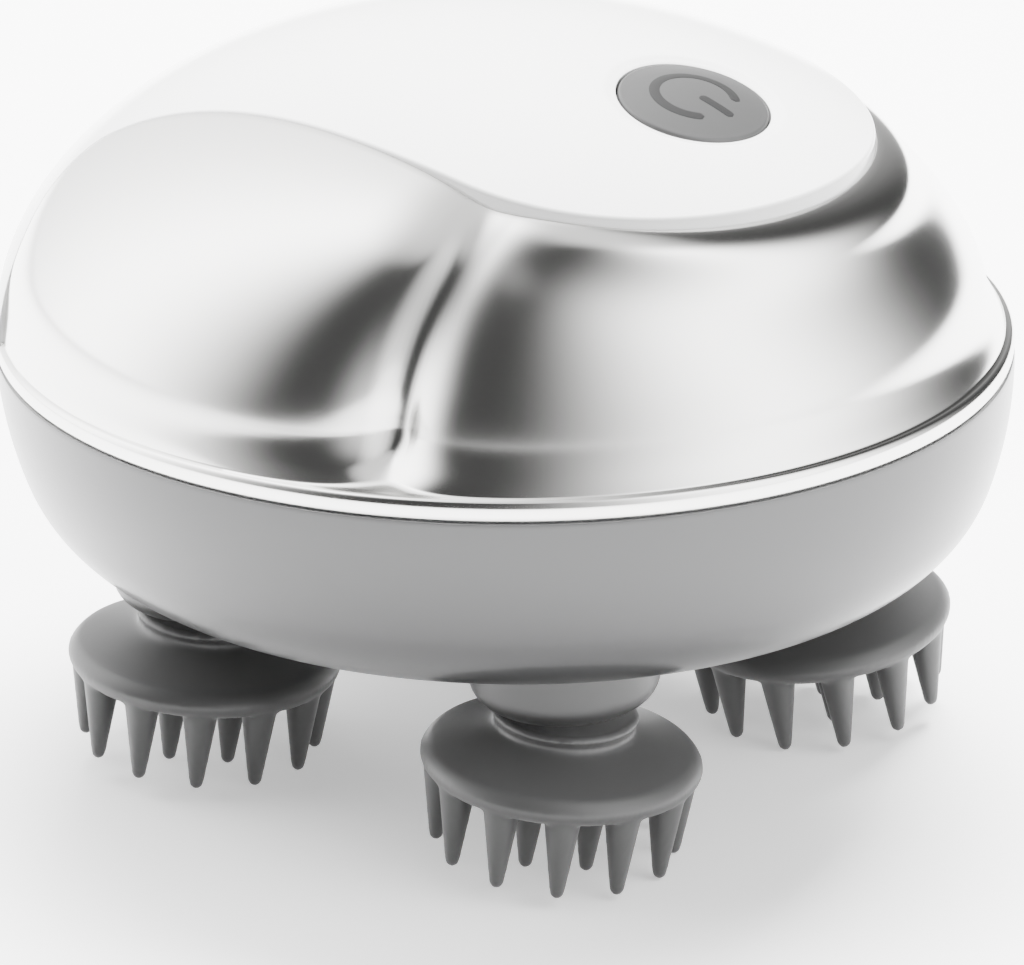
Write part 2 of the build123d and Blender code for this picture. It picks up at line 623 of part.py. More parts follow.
def sun_gear():
    """Moulded cluster: wheel above, sun below, turning on its axle."""
    cluster = gear(SUN_TEETH, HEAD_MODULE, HEAD_GEAR_Z, WHEEL_Z)
    cluster += gear(WHEEL_TEETH, WHEEL_MODULE, WHEEL_Z, WHEEL_Z + WHEEL_FACE)
    cluster += rod(SUN_AXLE_RADIUS + BOSS_WALL, WHEEL_Z, COMPOUND_Z - 0.1)
    return cluster - rod(SUN_AXLE_RADIUS + RUNNING_CLEARANCE, HEAD_GEAR_Z - 1, COMPOUND_Z + 1)


def sun_axle():
    """Steel pin from plate to plate."""
    return rod(SUN_AXLE_RADIUS, BASE_Z, COVER_TOP_Z - 0.5)


COMPOUND_PHASE = mesh_phase(WHEEL_TEETH, 0, COMPOUND_PINION_TEETH, 180)


def compound_gear():
    """Moulded reduction gear: large wheel above, small pinion below."""
    low, step, high = WHEEL_Z + GEAR_GAP, COMPOUND_Z, COMPOUND_Z + COMPOUND_FACE
    cluster = gear(COMPOUND_PINION_TEETH, WHEEL_MODULE, low, step, COMPOUND_PHASE, 3)
    cluster += gear(COMPOUND_TEETH, MOTOR_MODULE, step, high)
    cluster -= rod(COMPOUND_AXLE_RADIUS + RUNNING_CLEARANCE, low - 1, high + 1)
    return Pos(COMPOUND_X, 0, 0) * cluster


def compound_axle():
    """Steel pin from plate to plate."""
    return Pos(COMPOUND_X, 0, 0) * rod(COMPOUND_AXLE_RADIUS, BASE_Z, COVER_TOP_Z - 0.5)


def motor_pinion():
    """Brass pinion on the motor's shaft."""
    phase = mesh_phase(COMPOUND_TEETH, 0, MOTOR_PINION_TEETH, 0)
    blank = gear(MOTOR_PINION_TEETH, MOTOR_MODULE, COMPOUND_Z, COMPOUND_Z + COMPOUND_FACE, phase, 3)
    bore = rod(MOTOR_SHAFT_RADIUS + PRESS_CLEARANCE, COMPOUND_Z - 1, COVER_Z)
    return Pos(MOTOR_X, 0, 0) * (blank - bore)


def head_gear(spot, direction):
    """Gear of one head, keyed on its drive shaft."""
    phase = mesh_phase(SUN_TEETH, 0, HEAD_TEETH, direction)
    blank = gear(HEAD_TEETH, HEAD_MODULE, HEAD_GEAR_Z, WHEEL_Z, phase)
    blank += rod(SHAFT_RADIUS + BOSS_WALL, WHEEL_Z, WHEEL_Z + WHEEL_FACE)
    return spot * (blank - rod(SHAFT_RADIUS + PRESS_CLEARANCE, HEAD_GEAR_Z - 1, COVER_Z))


def head_collar(spot):
    """Collar under the shell: tapered end, seat on the bowl and spigot through it."""
    body = turned(
        (0, COLLAR_Z),
        (COLLAR_END_RADIUS, COLLAR_Z),
        (COLLAR_RADIUS, COLLAR_Z + COLLAR_TAPER),
        (COLLAR_RADIUS, BASE_Z),
        (0, BASE_Z),
    )
    body = spot * body - bowl(-SEAT_GAP)
    body += spot * rod(SPIGOT_RADIUS - PRESS_CLEARANCE, COLLAR_Z + COLLAR_LIP, BUSH_TOP_Z)
    bore = rod(SHAFT_RADIUS + 0.5, COLLAR_Z - 1, SEAL_Z) + rod(BUSH_RADIUS, SEAL_Z, BASE_Z + 1)
    return body - spot * bore


def shaft_seal(spot):
    """Rubber ring round the shaft, under its bush."""
    lip = turned(
        (SHAFT_RADIUS + RUNNING_CLEARANCE, SEAL_Z + 0.6),
        (SHAFT_RADIUS + 1, SEAL_Z),
        (BUSH_RADIUS - PRESS_CLEARANCE, SEAL_Z),
        (BUSH_RADIUS - PRESS_CLEARANCE, BUSH_Z),
        (SHAFT_RADIUS + 1, BUSH_Z),
        (SHAFT_RADIUS + RUNNING_CLEARANCE, BUSH_Z - 0.6),
    )
    return spot * lip


def lower_bush(spot):
    """Plain bush in the collar."""
    outer, inner = BUSH_RADIUS - PRESS_CLEARANCE, SHAFT_RADIUS + RUNNING_CLEARANCE
    return spot * ring(outer, inner, BUSH_Z, BUSH_TOP_Z)


def upper_bush(spot):
    """Plain bush in the gearbox cover."""
    return spot * ring(UPPER_BUSH_RADIUS, SHAFT_RADIUS + RUNNING_CLEARANCE, COVER_Z, COVER_TOP_Z)


def tilted(spot, lean):
    """Frame of an inclined head, its origin where the shaft bends."""
    return spot * Pos(0, 0, PIVOT_Z) * Rot(0, 0, lean) * Rot(0, HEAD_TILT, 0)


CORE_TOP = -CORE_TOP_COVER
CORE_BOTTOM = -(DISC_BOTTOM - CORE_FLOOR_COVER)


def drive_shaft(spot, lean):
    """Steel shaft, upright in its bushes, with an inclined end for the head."""
    upright = spot * rod(SHAFT_RADIUS, PIVOT_Z, COVER_TOP_Z + 0.5)
    end = tilted(spot, lean) * rod(SHAFT_RADIUS, CORE_BOTTOM + CORE_DISC_THICKNESS * 0.5, 0)
    elbow = spot * Pos(0, 0, PIVOT_Z) * Sphere(SHAFT_RADIUS)
    return upright + elbow + end


def core_outline(clearance=0.0):
    """Turned hub: stem in the neck, disc in the head."""
    stem, disc = CORE_STEM_RADIUS + clearance, CORE_DISC_RADIUS + clearance
    top, low = CORE_TOP + clearance, CORE_BOTTOM - clearance
    step = CORE_BOTTOM + CORE_DISC_THICKNESS + clearance
    return turned((0, low), (disc, low), (disc, step), (stem, step), (stem, top), (0, top))


def head_core(spot, lean):
    """Rigid hub pressed on the inclined end of the shaft."""
    bore = rod(SHAFT_RADIUS + PRESS_CLEARANCE, CORE_BOTTOM + CORE_DISC_THICKNESS * 0.5, 1)
    return tilted(spot, lean) * (core_outline() - bore - Sphere(SHAFT_RADIUS + PRESS_CLEARANCE))


def peg():
    """Tapered finger with a round tip, hanging from the disc."""
    tip = (PEG_TIP_RADIUS, -PEG_REACH + PEG_TIP_RADIUS)
    root = (PEG_ROOT_RADIUS, -DISC_BOTTOM + 0.8)
    end = (0, -PEG_REACH)
    outline = [
        Line((0, root[1]), root),
        Line(root, tip),
        RadiusArc(tip, end, PEG_TIP_RADIUS),
        Line(end, (0, root[1])),
    ]
    return revolve(Plane.XZ * make_face(outline), Axis.Z)


def massage_form():
    """Silicone head in its own frame: neck, flared disc and two circles of pegs."""
    flare = Spline(
        (NECK_WAIST, -1.6),
        (NECK_WAIST + 0.9, -3.0),
        (DISC_RADIUS - 1.2, -DISC_TOP),
        tangents=[(0, -1), (1, -0.28)],
    )
    edge = ThreePointArc(
        (DISC_RADIUS - 1.2, -DISC_TOP),
        (DISC_RADIUS, -(DISC_TOP + DISC_BOTTOM) / 2),
        (DISC_RADIUS - 0.9, -DISC_BOTTOM),
    )
    outline = [
        Line((0, 0), (NECK_RADIUS - 0.5, 0)),
        Line((NECK_RADIUS - 0.5, 0), (NECK_RADIUS, -0.5)),
        Line((NECK_RADIUS, -0.5), (NECK_WAIST, -1.6)),
        flare,
        edge,
        Line((DISC_RADIUS - 0.9, -DISC_BOTTOM), (0, -DISC_BOTTOM)),
        Line((0, -DISC_BOTTOM), (0, 0)),
    ]
    form = revolve(Plane.XZ * make_face(outline), Axis.Z)
    for count, circle in ((OUTER_PEGS, OUTER_PEG_CIRCLE), (INNER_PEGS, INNER_PEG_CIRCLE)):
        form += [Rot(0, 0, 360 * index / count) * Pos(circle, 0, 0) * peg() for index in range(count)]
    form += peg()
    bore = rod(SHAFT_RADIUS + 0.6, CORE_TOP - 1, 1)
    return form - core_outline(PRESS_CLEARANCE) - bore


def power_button():
    """Crowned cap with a rounded edge, a retaining flange and a stem."""
    edge = BUTTON_RADIUS - BUTTON_EDGE_ROUND
    crown_z = -BUTTON_SINK - BUTTON_CROWN
    low = -BUTTON_SINK - BUTTON_THICKNESS
    flange = BUTTON_RADIUS + BUTTON_FLANGE
    crown = ThreePointArc((-edge, crown_z), (0, -BUTTON_SINK), (edge, crown_z))
    half_crown = crown.trim(0.5, 1)
    corner = RadiusArc((edge, crown_z), (BUTTON_RADIUS, crown_z - BUTTON_EDGE_ROUND), BUTTON_EDGE_ROUND)
    skirt = Polyline(
        (BUTTON_RADIUS, crown_z - BUTTON_EDGE_ROUND),
        (BUTTON_RADIUS, low),
        (flange, low),
        (flange, low - BUTTON_FLANGE_THICKNESS),
        (BUTTON_STEM_RADIUS, low - BUTTON_FLANGE_THICKNESS),
        (BUTTON_STEM_RADIUS, SWITCH_TOP + SWITCH_RISE),
        (0, SWITCH_TOP + SWITCH_RISE),
        (0, -BUTTON_SINK),
    )
    cap = revolve(Plane.XZ * make_face([half_crown, corner, skirt]), Axis.Z)
    return button_frame() * cap


def switch_plunger():
    """Plunger of the push switch, under the button's stem."""
    low = BOARD_TOP + SWITCH_FLOOR + BUTTON_TRAVEL + 0.2
    return button_frame() * rod(PLUNGER_RADIUS, low, SWITCH_TOP + SWITCH_RISE)


def tact_switch():
    """Push switch on the circuit board."""
    body = Pos(0, 0, BOARD_TOP) * extrude(Rectangle(SWITCH_SIZE, SWITCH_SIZE), SWITCH_HEIGHT)
    body -= rod(PLUNGER_RADIUS + RUNNING_CLEARANCE, BOARD_TOP + SWITCH_FLOOR, SWITCH_TOP + 1)
    return button_frame() * body


def circuit_board():
    """Board under the button, on two posts of the top cover."""
    board = Pos(0, 0, BOARD_TOP - BOARD_THICKNESS) * extrude(
        RectangleRounded(BOARD_LENGTH, BOARD_WIDTH, 2), BOARD_THICKNESS
    )
    for sign in (1, -1):
        board -= Pos(0, sign * BOARD_POST_Y, 0) * rod(SCREW_RADIUS, BOARD_TOP - 3, BOARD_TOP + 1)
    chip = Box(5, 5, 1, align=(Align.CENTER, Align.CENTER, Align.MAX))
    board += Pos(-BOARD_LENGTH * 0.25, 0, BOARD_TOP - BOARD_THICKNESS) * chip
    return button_frame() * board


def board_screws():
    """Two screws from below that hold the board."""
    part = screw(BOARD_THICKNESS + SCREW_BITE - 1, SHANK_RADIUS, SMALL_HEAD_RADIUS)
    drop = Pos(0, 0, BOARD_TOP - BOARD_THICKNESS) * Rot(180, 0, 0)
    return [spot * drop * part for spot in board_spots()]


def write(name, shape):
    """Write one node, a solid or a group of identical solids."""
    if isinstance(shape, list):
        shape = Compound(children=[Part() + each for each in shape])
    export_step(shape, f"parts/{name}.step")


def main():
    os.makedirs("parts", exist_ok=True)
    single = [
        top_cover, chrome_band, lower_shell, rim_gasket, housing_screws,
        power_button, switch_plunger, tact_switch, circuit_board, board_screws,
        charge_socket, charge_contacts, charge_magnets, battery,
        motor, motor_shaft, motor_screws, motor_pinion,
        compound_gear, compound_axle, sun_gear, sun_axle,
        gearbox_base, gearbox_cover, gearbox_screws,
    ]
    for function in single:
        write(function.__name__, function())
    silicone = massage_form()
    for name, (sx, sy, lean) in HEADS.items():
        spot = Pos(sx * HEAD_X, sy * HEAD_Y, 0)
        direction = math.degrees(math.atan2(sy * HEAD_Y, sx * HEAD_X))
        write(f"massage_head_{name}", tilted(spot, lean) * silicone)
        write(f"head_core_{name}", head_core(spot, lean))
        write(f"drive_shaft_{name}", drive_shaft(spot, lean))
        write(f"head_gear_{name}", head_gear(spot, direction))
        write(f"head_collar_{name}", head_collar(spot))
        write(f"shaft_seal_{name}", shaft_seal(spot))
        write(f"lower_bush_{name}", lower_bush(spot))
        write(f"upper_bush_{name}", upper_bush(spot))


main()
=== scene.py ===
"""Electric scalp massager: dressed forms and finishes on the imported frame.

The housing is worked from the same few sizes as its solids: an oval dome over a flat-bottomed bowl,
a chrome waist band with creases and a rolled hem, a white deck with a dished button hole, and four
soft kneading heads. Sizes are in millimetres and are scaled to metres when a mesh is placed.
"""
import json
import math

import bpy
from mathutils import Matrix, Vector


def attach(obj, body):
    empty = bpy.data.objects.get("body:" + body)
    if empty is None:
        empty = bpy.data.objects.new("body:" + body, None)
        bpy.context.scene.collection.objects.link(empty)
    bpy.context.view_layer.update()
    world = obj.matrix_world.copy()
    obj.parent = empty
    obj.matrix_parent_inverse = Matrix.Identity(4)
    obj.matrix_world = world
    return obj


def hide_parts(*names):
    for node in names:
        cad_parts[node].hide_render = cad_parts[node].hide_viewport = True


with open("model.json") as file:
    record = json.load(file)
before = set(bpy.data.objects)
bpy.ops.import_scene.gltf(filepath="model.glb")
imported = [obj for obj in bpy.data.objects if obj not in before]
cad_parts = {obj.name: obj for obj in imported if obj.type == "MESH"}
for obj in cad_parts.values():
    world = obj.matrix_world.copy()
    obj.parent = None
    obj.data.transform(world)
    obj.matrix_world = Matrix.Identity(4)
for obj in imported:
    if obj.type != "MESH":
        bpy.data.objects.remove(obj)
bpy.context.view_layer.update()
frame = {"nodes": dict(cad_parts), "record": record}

MM = 0.001
MERGE = 0.01 * MM
SMOOTH_ANGLE = math.radians(40)

# Housing
HALF_LENGTH = 57.0
HALF_WIDTH = 51.3
DOME_HEIGHT = 35.6
BOWL_DEPTH = 25.4
SIDE_RADIUS, SIDE_TURN = 40.0, 20.0
CORNER_RADIUS, CORNER_TURN = 14.0, 50.0
SHELL_WALL = 2.4
COVER_WALL = 2.0
BAND_WALL = 3.2

# Deck of the white cover
DECK_HALF_LENGTH = 63.0
DECK_END_X = 16.8
DECK_END_RADIUS = 26.9
DECK_REAR_X = -40.0
DECK_REAR_HALF_WIDTH = 23.4
DECK_CORNER_RADIUS = 6.0
DECK_EDGE_ROUND = 0.35
DECK_SEAM = 0.06
REAR_FOOT = 2.4
CORNER_GUIDE, REAR_GUIDE = (-28.6, 14.5), (-41.5, 16.0)
RIM_GUIDE, TAIL_GUIDE = (-44.8, 16.5), (-46.0, 0.0)

# Chrome band
HEM_HEIGHT = 2.4
HEM_STEP = 0.5
HEM_ROUND = 0.9
HEM_BLEND = 0.45
CREASE_X = 21.0
CREASE_DEPTH = 5.0
CREASE_LOBE_WIDTH = 6.5
CREASE_SKIRT_WIDTH = 3.4
CREASE_EASE = 0.7
CREASE_EASE_LOW, CREASE_EASE_HIGH = 8.0, 24.0
LIP_START_X = 24.0
LIP_GROWTH = 0.13
LIP_WIDTH = 4.5
SKIRT_HOLLOW = 1.4
BAND_EDGE_ROUND = 0.25
BAND_LAP = 2.4
HEM_ROWS_REACH = 5.0
SKIN_ROWS_SHARE = 0.53

# Massage heads
HEAD_X = 24.5
SHAFT_CENTRES = 33.2
HEAD_Y = math.sqrt(SHAFT_CENTRES**2 - HEAD_X**2)
HEAD_TILT = 6.0
DISC_RADIUS = 15.0
DISC_TOP = 4.6
DISC_BOTTOM = 7.0
NECK_RADIUS = 7.9
NECK_WAIST = 7.3
PEG_REACH = 16.1
PEG_ROOT_RADIUS = 2.1
PEG_TIP_RADIUS = 0.8
PEG_CIRCLES = ((12, 12.6), (6, 6.4), (1, 0.0))
PIVOT_DROP = 29.6
COLLAR_GAP = 1.3
COLLAR_RADIUS = 10.1
COLLAR_END_RADIUS = 7.8
COLLAR_TAPER = 2.9
COLLAR_BORE = 3.0
SILICONE_VOXEL = 0.28
HEADS = {
    "front_left": (1, 1, 255.0),
    "front_right": (1, -1, 38.0),
    "rear_left": (-1, 1, 90.0),
    "rear_right": (-1, -1, 38.0),
}

# Power button
BUTTON_X = 26.8
BUTTON_RADIUS = 8.0
BUTTON_GAP = 0.3
BUTTON_SINK = -0.15
BUTTON_CROWN = 0.9
BUTTON_EDGE_ROUND = 0.4
BUTTON_THICKNESS = 4.3
BUTTON_FLANGE = 1.1
DISH_WIDTH = 1.5
DISH_DROP = 0.45
SIGN_RADIUS = 4.3
SIGN_STROKE = 1.1
SIGN_GAP = 40.0
SIGN_BAR = (0.6, 5.0)
STROKE_SECTION = (
    (-1, -0.1), (-1, 0.03), (-0.5, 0.05), (0, 0.05), (0.5, 0.05), (1, 0.03), (1, -0.1), (-1, -0.1),
)

# Holes of the bowl: charging recess at the rear, screw wells below
SOCKET_RADIUS = 6.0
SOCKET_DEPTH = 1.5
PLUG_RADIUS = 4.9
SOCKET_LEVEL = -9.0
WELLS = ((44.0, 0.0), (-44.0, 0.0), (0.0, 37.0), (0.0, -37.0))
WELL_RADIUS = 2.4
WELL_WALL_RADIUS = 3.2
WELL_SEAT = 6.6
WELL_BORE = 1.2
WELL_STEPS = 48

# Sizes that follow
TILT = math.radians(HEAD_TILT)
PIVOT_Z = PEG_REACH * math.cos(TILT) + PEG_CIRCLES[0][1] * math.sin(TILT)
PIVOT_Z += PEG_TIP_RADIUS * (1 - math.cos(TILT))
RIM_Z = PIVOT_Z + PIVOT_DROP
FLOOR_Z = RIM_Z - BOWL_DEPTH
COLLAR_Z = PIVOT_Z + COLLAR_GAP


# ---------- modelling helpers ----------

def bare():
    """Object mode with nothing selected."""
    if bpy.context.object and bpy.context.object.mode != "OBJECT":
        bpy.ops.object.mode_set(mode="OBJECT")
    bpy.ops.object.select_all(action="DESELECT")


def only(piece):
    """Select one piece and make it active."""
    bare()
    piece.select_set(True)
    bpy.context.view_layer.objects.active = piece


def apply_modifier(piece, kind, **settings):
    """Add a modifier to a piece and apply it."""
    only(piece)
    modifier = piece.modifiers.new(kind.title(), kind)
    for name, value in settings.items():
        setattr(modifier, name, value)
    bpy.ops.object.modifier_apply(modifier=modifier.name)


def close_up(piece):
    """Merge seams and poles, turn the faces outwards and shade the piece smooth."""
    only(piece)
    bpy.ops.object.mode_set(mode="EDIT")
    bpy.ops.mesh.select_all(action="SELECT")
    bpy.ops.mesh.remove_doubles(threshold=MERGE)
    bpy.ops.mesh.normals_make_consistent(inside=False)
    bpy.ops.object.mode_set(mode="OBJECT")
    bpy.ops.object.shade_smooth_by_angle(angle=SMOOTH_ANGLE)
    return piece


def lofted(name, sections):
    """Sheet through a row of sections: a grid whose columns are carried to their points."""
    columns, rows = len(sections) - 1, len(sections[0]) - 1
    bare()
    bpy.ops.mesh.primitive_grid_add(x_subdivisions=columns, y_subdivisions=rows, size=2)
    piece = bpy.context.object
    piece.name = name
    for vertex in piece.data.vertices:
        column = round((vertex.co.x + 1) / 2 * columns)
        row = round((vertex.co.y + 1) / 2 * rows)
        vertex.co = Vector(sections[column][row]) * MM
    return close_up(piece)


def turned(name, outline, steps):
    """Closed form spun about Z from an outline of (radius, height) points."""
    bare()
    bpy.ops.mesh.primitive_plane_add(size=MM)
    piece = bpy.context.object
    piece.name = name
    bpy.ops.object.mode_set(mode="EDIT")
    bpy.ops.mesh.merge(type="CENTER")
    radius, height = outline[0]
    bpy.ops.transform.translate(value=(radius * MM, 0, height * MM))
    for (r0, z0), (r1, z1) in zip(outline, outline[1:]):
        step = ((r1 - r0) * MM, 0, (z1 - z0) * MM)
        bpy.ops.mesh.extrude_vertices_move(TRANSFORM_OT_translate={"value": step})
    bpy.ops.mesh.select_all(action="SELECT")
    bpy.ops.mesh.spin(steps=steps, angle=math.tau, center=(0, 0, 0), axis=(0, 0, 1))
    return close_up(piece)


def placed(piece, matrix):
    """Carry a finished form to its place and leave its object at the origin."""
    piece.data.transform(matrix)
    piece.data.update()
    return piece


def copied(piece, name):
    """Copy of a piece with a mesh of its own."""
    twin = piece.copy()
    twin.data = piece.data.copy()
    twin.name = name
    bpy.context.scene.collection.objects.link(twin)
    return twin


def joined(pieces, name):
    """Several forms as one piece."""
    bare()
    for piece in pieces:
        piece.select_set(True)
    bpy.context.view_layer.objects.active = pieces[0]
    bpy.ops.object.join()
    pieces[0].name = name
    return pieces[0]


def arc(centre, radius, start, end, steps):
    """Points along an arc, angles in degrees."""
    points = []
    for step in range(steps + 1):
        angle = math.radians(start + (end - start) * step / steps)
        points.append((centre[0] + radius * math.cos(angle), centre[1] + radius * math.sin(angle)))
    return points


def smooth(value, low, high):
    """Smooth step from 0 at low to 1 at high."""
    share = min(max((value - low) / (high - low), 0.0), 1.0)
    return share * share * (3 - 2 * share)


def smoother(value, low, high):
    """Share from low to high, eased so softly that a mirrored skin shows no line at its ends."""
    share = min(max((value - low) / (high - low), 0), 1)
    return share**3 * (share * (share * 6 - 15) + 10)


def between(a, b, share):
    """Point at a share of the way from a to b."""
    return tuple(p + (q - p) * share for p, q in zip(a, b))


# ---------- housing surface ----------

def button_frame():
    """Matrix of the frame on the deck under the button, Z along its press axis."""
    height = DOME_HEIGHT * math.sqrt(1 - (BUTTON_X / DECK_HALF_LENGTH) ** 2)
    axis = Vector((BUTTON_X / DECK_HALF_LENGTH**2, 0, height / DOME_HEIGHT**2)).normalized()
    side = Vector((axis.z, 0, -axis.x))
    matrix = Matrix((side, axis.cross(side), axis)).transposed().to_4x4()
    matrix.translation = Vector((BUTTON_X, 0, RIM_Z + height))
    return matrix


class Oval:
    """Half ellipsoid on the rim plane, with a front half of its own length."""

    def __init__(self, inset=0.0, front=HALF_LENGTH):
        self.rear, self.front = HALF_LENGTH - inset, front - inset
        self.side, self.height = HALF_WIDTH - inset, DOME_HEIGHT - inset

    def length(self, x):
        """Half length toward the end on which x lies."""
        return self.front if x > 0 else self.rear

    def unit(self, x, y):
        """Unit direction over a plan point."""
        across, along = x / self.length(x), y / self.side
        return Vector((across, along, math.sqrt(max(1 - across * across - along * along, 0)))).normalized()

    def point(self, unit):
        """Point in a unit direction."""
        return Vector((unit.x * self.length(unit.x), unit.y * self.side, unit.z * self.height + RIM_Z))

    def normal(self, unit):
        """Outward normal in a unit direction."""
        return Vector((unit.x / self.length(unit.x), unit.y / self.side, unit.z / self.height)).normalized()

    def over_button(self, radius, angle):
        """Unit direction of the place at a radius and an angle round the button's axis."""
        level = 0.0
        for _ in range(12):
            place = Vector((radius * math.cos(angle), radius * math.sin(angle), level))
            p = button_frame() @ place
            unit = Vector((p.x / self.length(p.x), p.y / self.side, (p.z - RIM_Z) / self.height))
            level -= (unit.length - 1) * self.height
        return unit.normalized()


DOME = Oval()
DECK = Oval(front=DECK_HALF_LENGTH)
LINING = Oval(COVER_WALL)


def toward(a, b, share):
    """Unit direction between two others, along the dome."""
    return a.lerp(b, share).normalized()


def rim_unit(x, side):
    """Unit direction of the rim at a place along the body."""
    return Vector((x / HALF_LENGTH, side * math.sqrt(max(1 - (x / HALF_LENGTH) ** 2, 0)), 0))


def band_recess(x, y, height):
    """How far the band's skin lies inside the dome, in plan."""
    across = x - CREASE_X
    width = CREASE_SKIRT_WIDTH if across > 0 else CREASE_LOBE_WIDTH
    fade = smoother(height, 0, HEM_HEIGHT * 3)
    ease = 1 - CREASE_EASE * smooth(height, CREASE_EASE_LOW, CREASE_EASE_HIGH)
    crease = CREASE_DEPTH * fade * ease / (1 + (across / width) ** 2)
    front = smooth(x, CREASE_X - CREASE_SKIRT_WIDTH, CREASE_X + CREASE_SKIRT_WIDTH)
    outside = math.hypot(max(x - DECK_END_X, 0), y) - DECK_END_RADIUS
    near = math.exp(-((outside / LIP_WIDTH) ** 2))
    lip = LIP_GROWTH * max(x - LIP_START_X, 0)
    skirt = front * (SKIRT_HOLLOW * fade * (1 - near) - lip * near)
    step = HEM_STEP * (1 - smoother(height, HEM_HEIGHT * 1.5, HEM_HEIGHT * 5))
    return crease + skirt + step


def hem_inset(height):
    """How far the rolled hem lies inside the rim's outline."""
    lift = abs(height / (HEM_HEIGHT / 2) - 1)
    if lift < 1:
        return HEM_ROUND * (1 - (1 - lift**2.6) ** (1 / 2.6))
    return HEM_ROUND + (lift - 1) * 4


def band_point(unit, inset=0.0):
    """Point of the band's skin, or of its inner wall, in a unit direction of the dome."""
    x, y, height = unit.x * HALF_LENGTH, unit.y * HALF_WIDTH, unit.z * DOME_HEIGHT
    reach = math.hypot(x, y)
    outline = reach / max(math.hypot(unit.x, unit.y), 1e-9)
    recess = band_recess(x, y, height)
    skin = outline - reach + (max(recess, 0) if inset else recess)
    hem = hem_inset(height)
    share = max(HEM_BLEND - abs(skin - hem), 0) / HEM_BLEND
    depth = min(skin, hem) - share * share * HEM_BLEND / 4
    final = (outline - max(depth, 0) - inset) / reach
    return Vector((x * final, y * final, height * (1 - inset / DOME_HEIGHT) + RIM_Z))


def band_unit_at(x, y):
    """Unit direction whose band point stands over a plan point."""
    target = math.hypot(x, y)
    outline = target / math.hypot(x / HALF_LENGTH, y / HALF_WIDTH)
    low = target - 4.0
    high = outline * math.sqrt(1 - (HEM_HEIGHT / 2 / DOME_HEIGHT) ** 2)
    for _ in range(40):
        middle = (low + high) / 2
        unit = DOME.unit(x * middle / target, y * middle / target)
        skin = band_point(unit)
        low, high = (middle, high) if math.hypot(skin.x, skin.y) < target else (low, middle)
    return DOME.unit(x * low / target, y * low / target)


def flank_y(x):
    """Half width of the deck along its flank."""
    share = (DECK_END_X - x) / (DECK_END_X - DECK_REAR_X - DECK_CORNER_RADIUS)
    return DECK_END_RADIUS + (DECK_REAR_HALF_WIDTH - DECK_END_RADIUS) * smooth(share, 0, 1)


def deck_half(nose=110, flank=120, corner=30, rear=44):
    """One half of the deck's edge in plan, from its front tip to the rim, with the kind of each run."""
    bend_x = DECK_REAR_X + DECK_CORNER_RADIUS
    corner_y = DECK_REAR_HALF_WIDTH + DECK_CORNER_RADIUS
    rim_y = HALF_WIDTH * math.sqrt(1 - (DECK_REAR_X / HALF_LENGTH) ** 2)
    points = [("nose", p) for p in arc((DECK_END_X, 0), DECK_END_RADIUS, 0, 90, nose)[:-1]]
    for step in range(flank):
        x = DECK_END_X + (bend_x - DECK_END_X) * step / flank
        points.append(("flank", (x, flank_y(x))))
    points += [("corner", p) for p in arc((bend_x, corner_y), DECK_CORNER_RADIUS, 270, 180, corner)[:-1]]
    for step in range(rear + 1):
        share = 1 - (1 - step / rear) ** 1.6
        points.append(("rear", (DECK_REAR_X, corner_y + (rim_y - corner_y) * share)))
    return points


def rim_foot(kind, point, index, count):
    """Place along the rim to which a point of the deck's edge runs down."""
    bend_x = DECK_REAR_X + DECK_CORNER_RADIUS
    if kind == "nose":
        angle = math.atan2(point[1], point[0] - DECK_END_X)
        low, high = 0.0, 60.0
        for _ in range(40):
            middle = (low + high) / 2
            x, y = DECK_END_X + middle * math.cos(angle), middle * math.sin(angle)
            inside = math.hypot(x / HALF_LENGTH, y / HALF_WIDTH) < 1
            low, high = (middle, high) if inside else (low, middle)
        return DECK_END_X + low * math.cos(angle)
    if kind == "flank":
        share = (DECK_END_X - point[0]) / (DECK_END_X - bend_x)
        return DECK_END_X + (DECK_REAR_X + REAR_FOOT - DECK_END_X) * share
    return DECK_REAR_X + REAR_FOOT * (1 - index / count)


def mirrored(sections):
    """Sections of one half followed, after their middle, by those of the other half."""
    flipped = [[(x, -y, z) for x, y, z in section] for section in sections]
    return flipped[:0:-1] + sections


# ---------- pieces of the housing ----------

def down_from(unit):
    """Direction of a parting wall: upright on the deck, square to the skin near the rim."""
    share = 1 - smooth(unit.z * DOME_HEIGHT, 3, 12)
    return Vector((0, 0, -1)).lerp(-DOME.normal(unit), share).normalized()


def band_section(top, foot, skin_rows=92, wall_rows=10):
    """Closed section of the band from under the deck, down the skin, round the hem and up inside."""
    down = down_from(top)
    edge = band_point(top)
    away = (band_point(toward(top, foot, 0.01)) - edge).normalized()
    points = [edge + down * BAND_LAP, edge + down * (BAND_LAP / 2)]
    for turn in (0, 30, 60):
        angle = math.radians(turn)
        drop = down * BAND_EDGE_ROUND * (1 - math.sin(angle))
        points.append(edge + drop + away * BAND_EDGE_ROUND * (1 - math.cos(angle)))
    length = max((band_point(foot) - edge).length, 4 * BAND_EDGE_ROUND)
    start = BAND_EDGE_ROUND / length
    hem = min(HEM_ROWS_REACH / length, 0.5)
    for row in range(skin_rows + 1):
        count = row / skin_rows
        on_skin = count * (1 - hem) / SKIN_ROWS_SHARE
        near_hem = 1 - (1 - count) * hem / (1 - SKIN_ROWS_SHARE)
        share = start + (1 - start) * min(on_skin, near_hem)
        points.append(band_point(toward(top, foot, share)))
    for row in range(wall_rows + 1):
        points.append(band_point(toward(foot, top, row / wall_rows), BAND_WALL))
    points.append(points[0])
    return [tuple(point) for point in points]


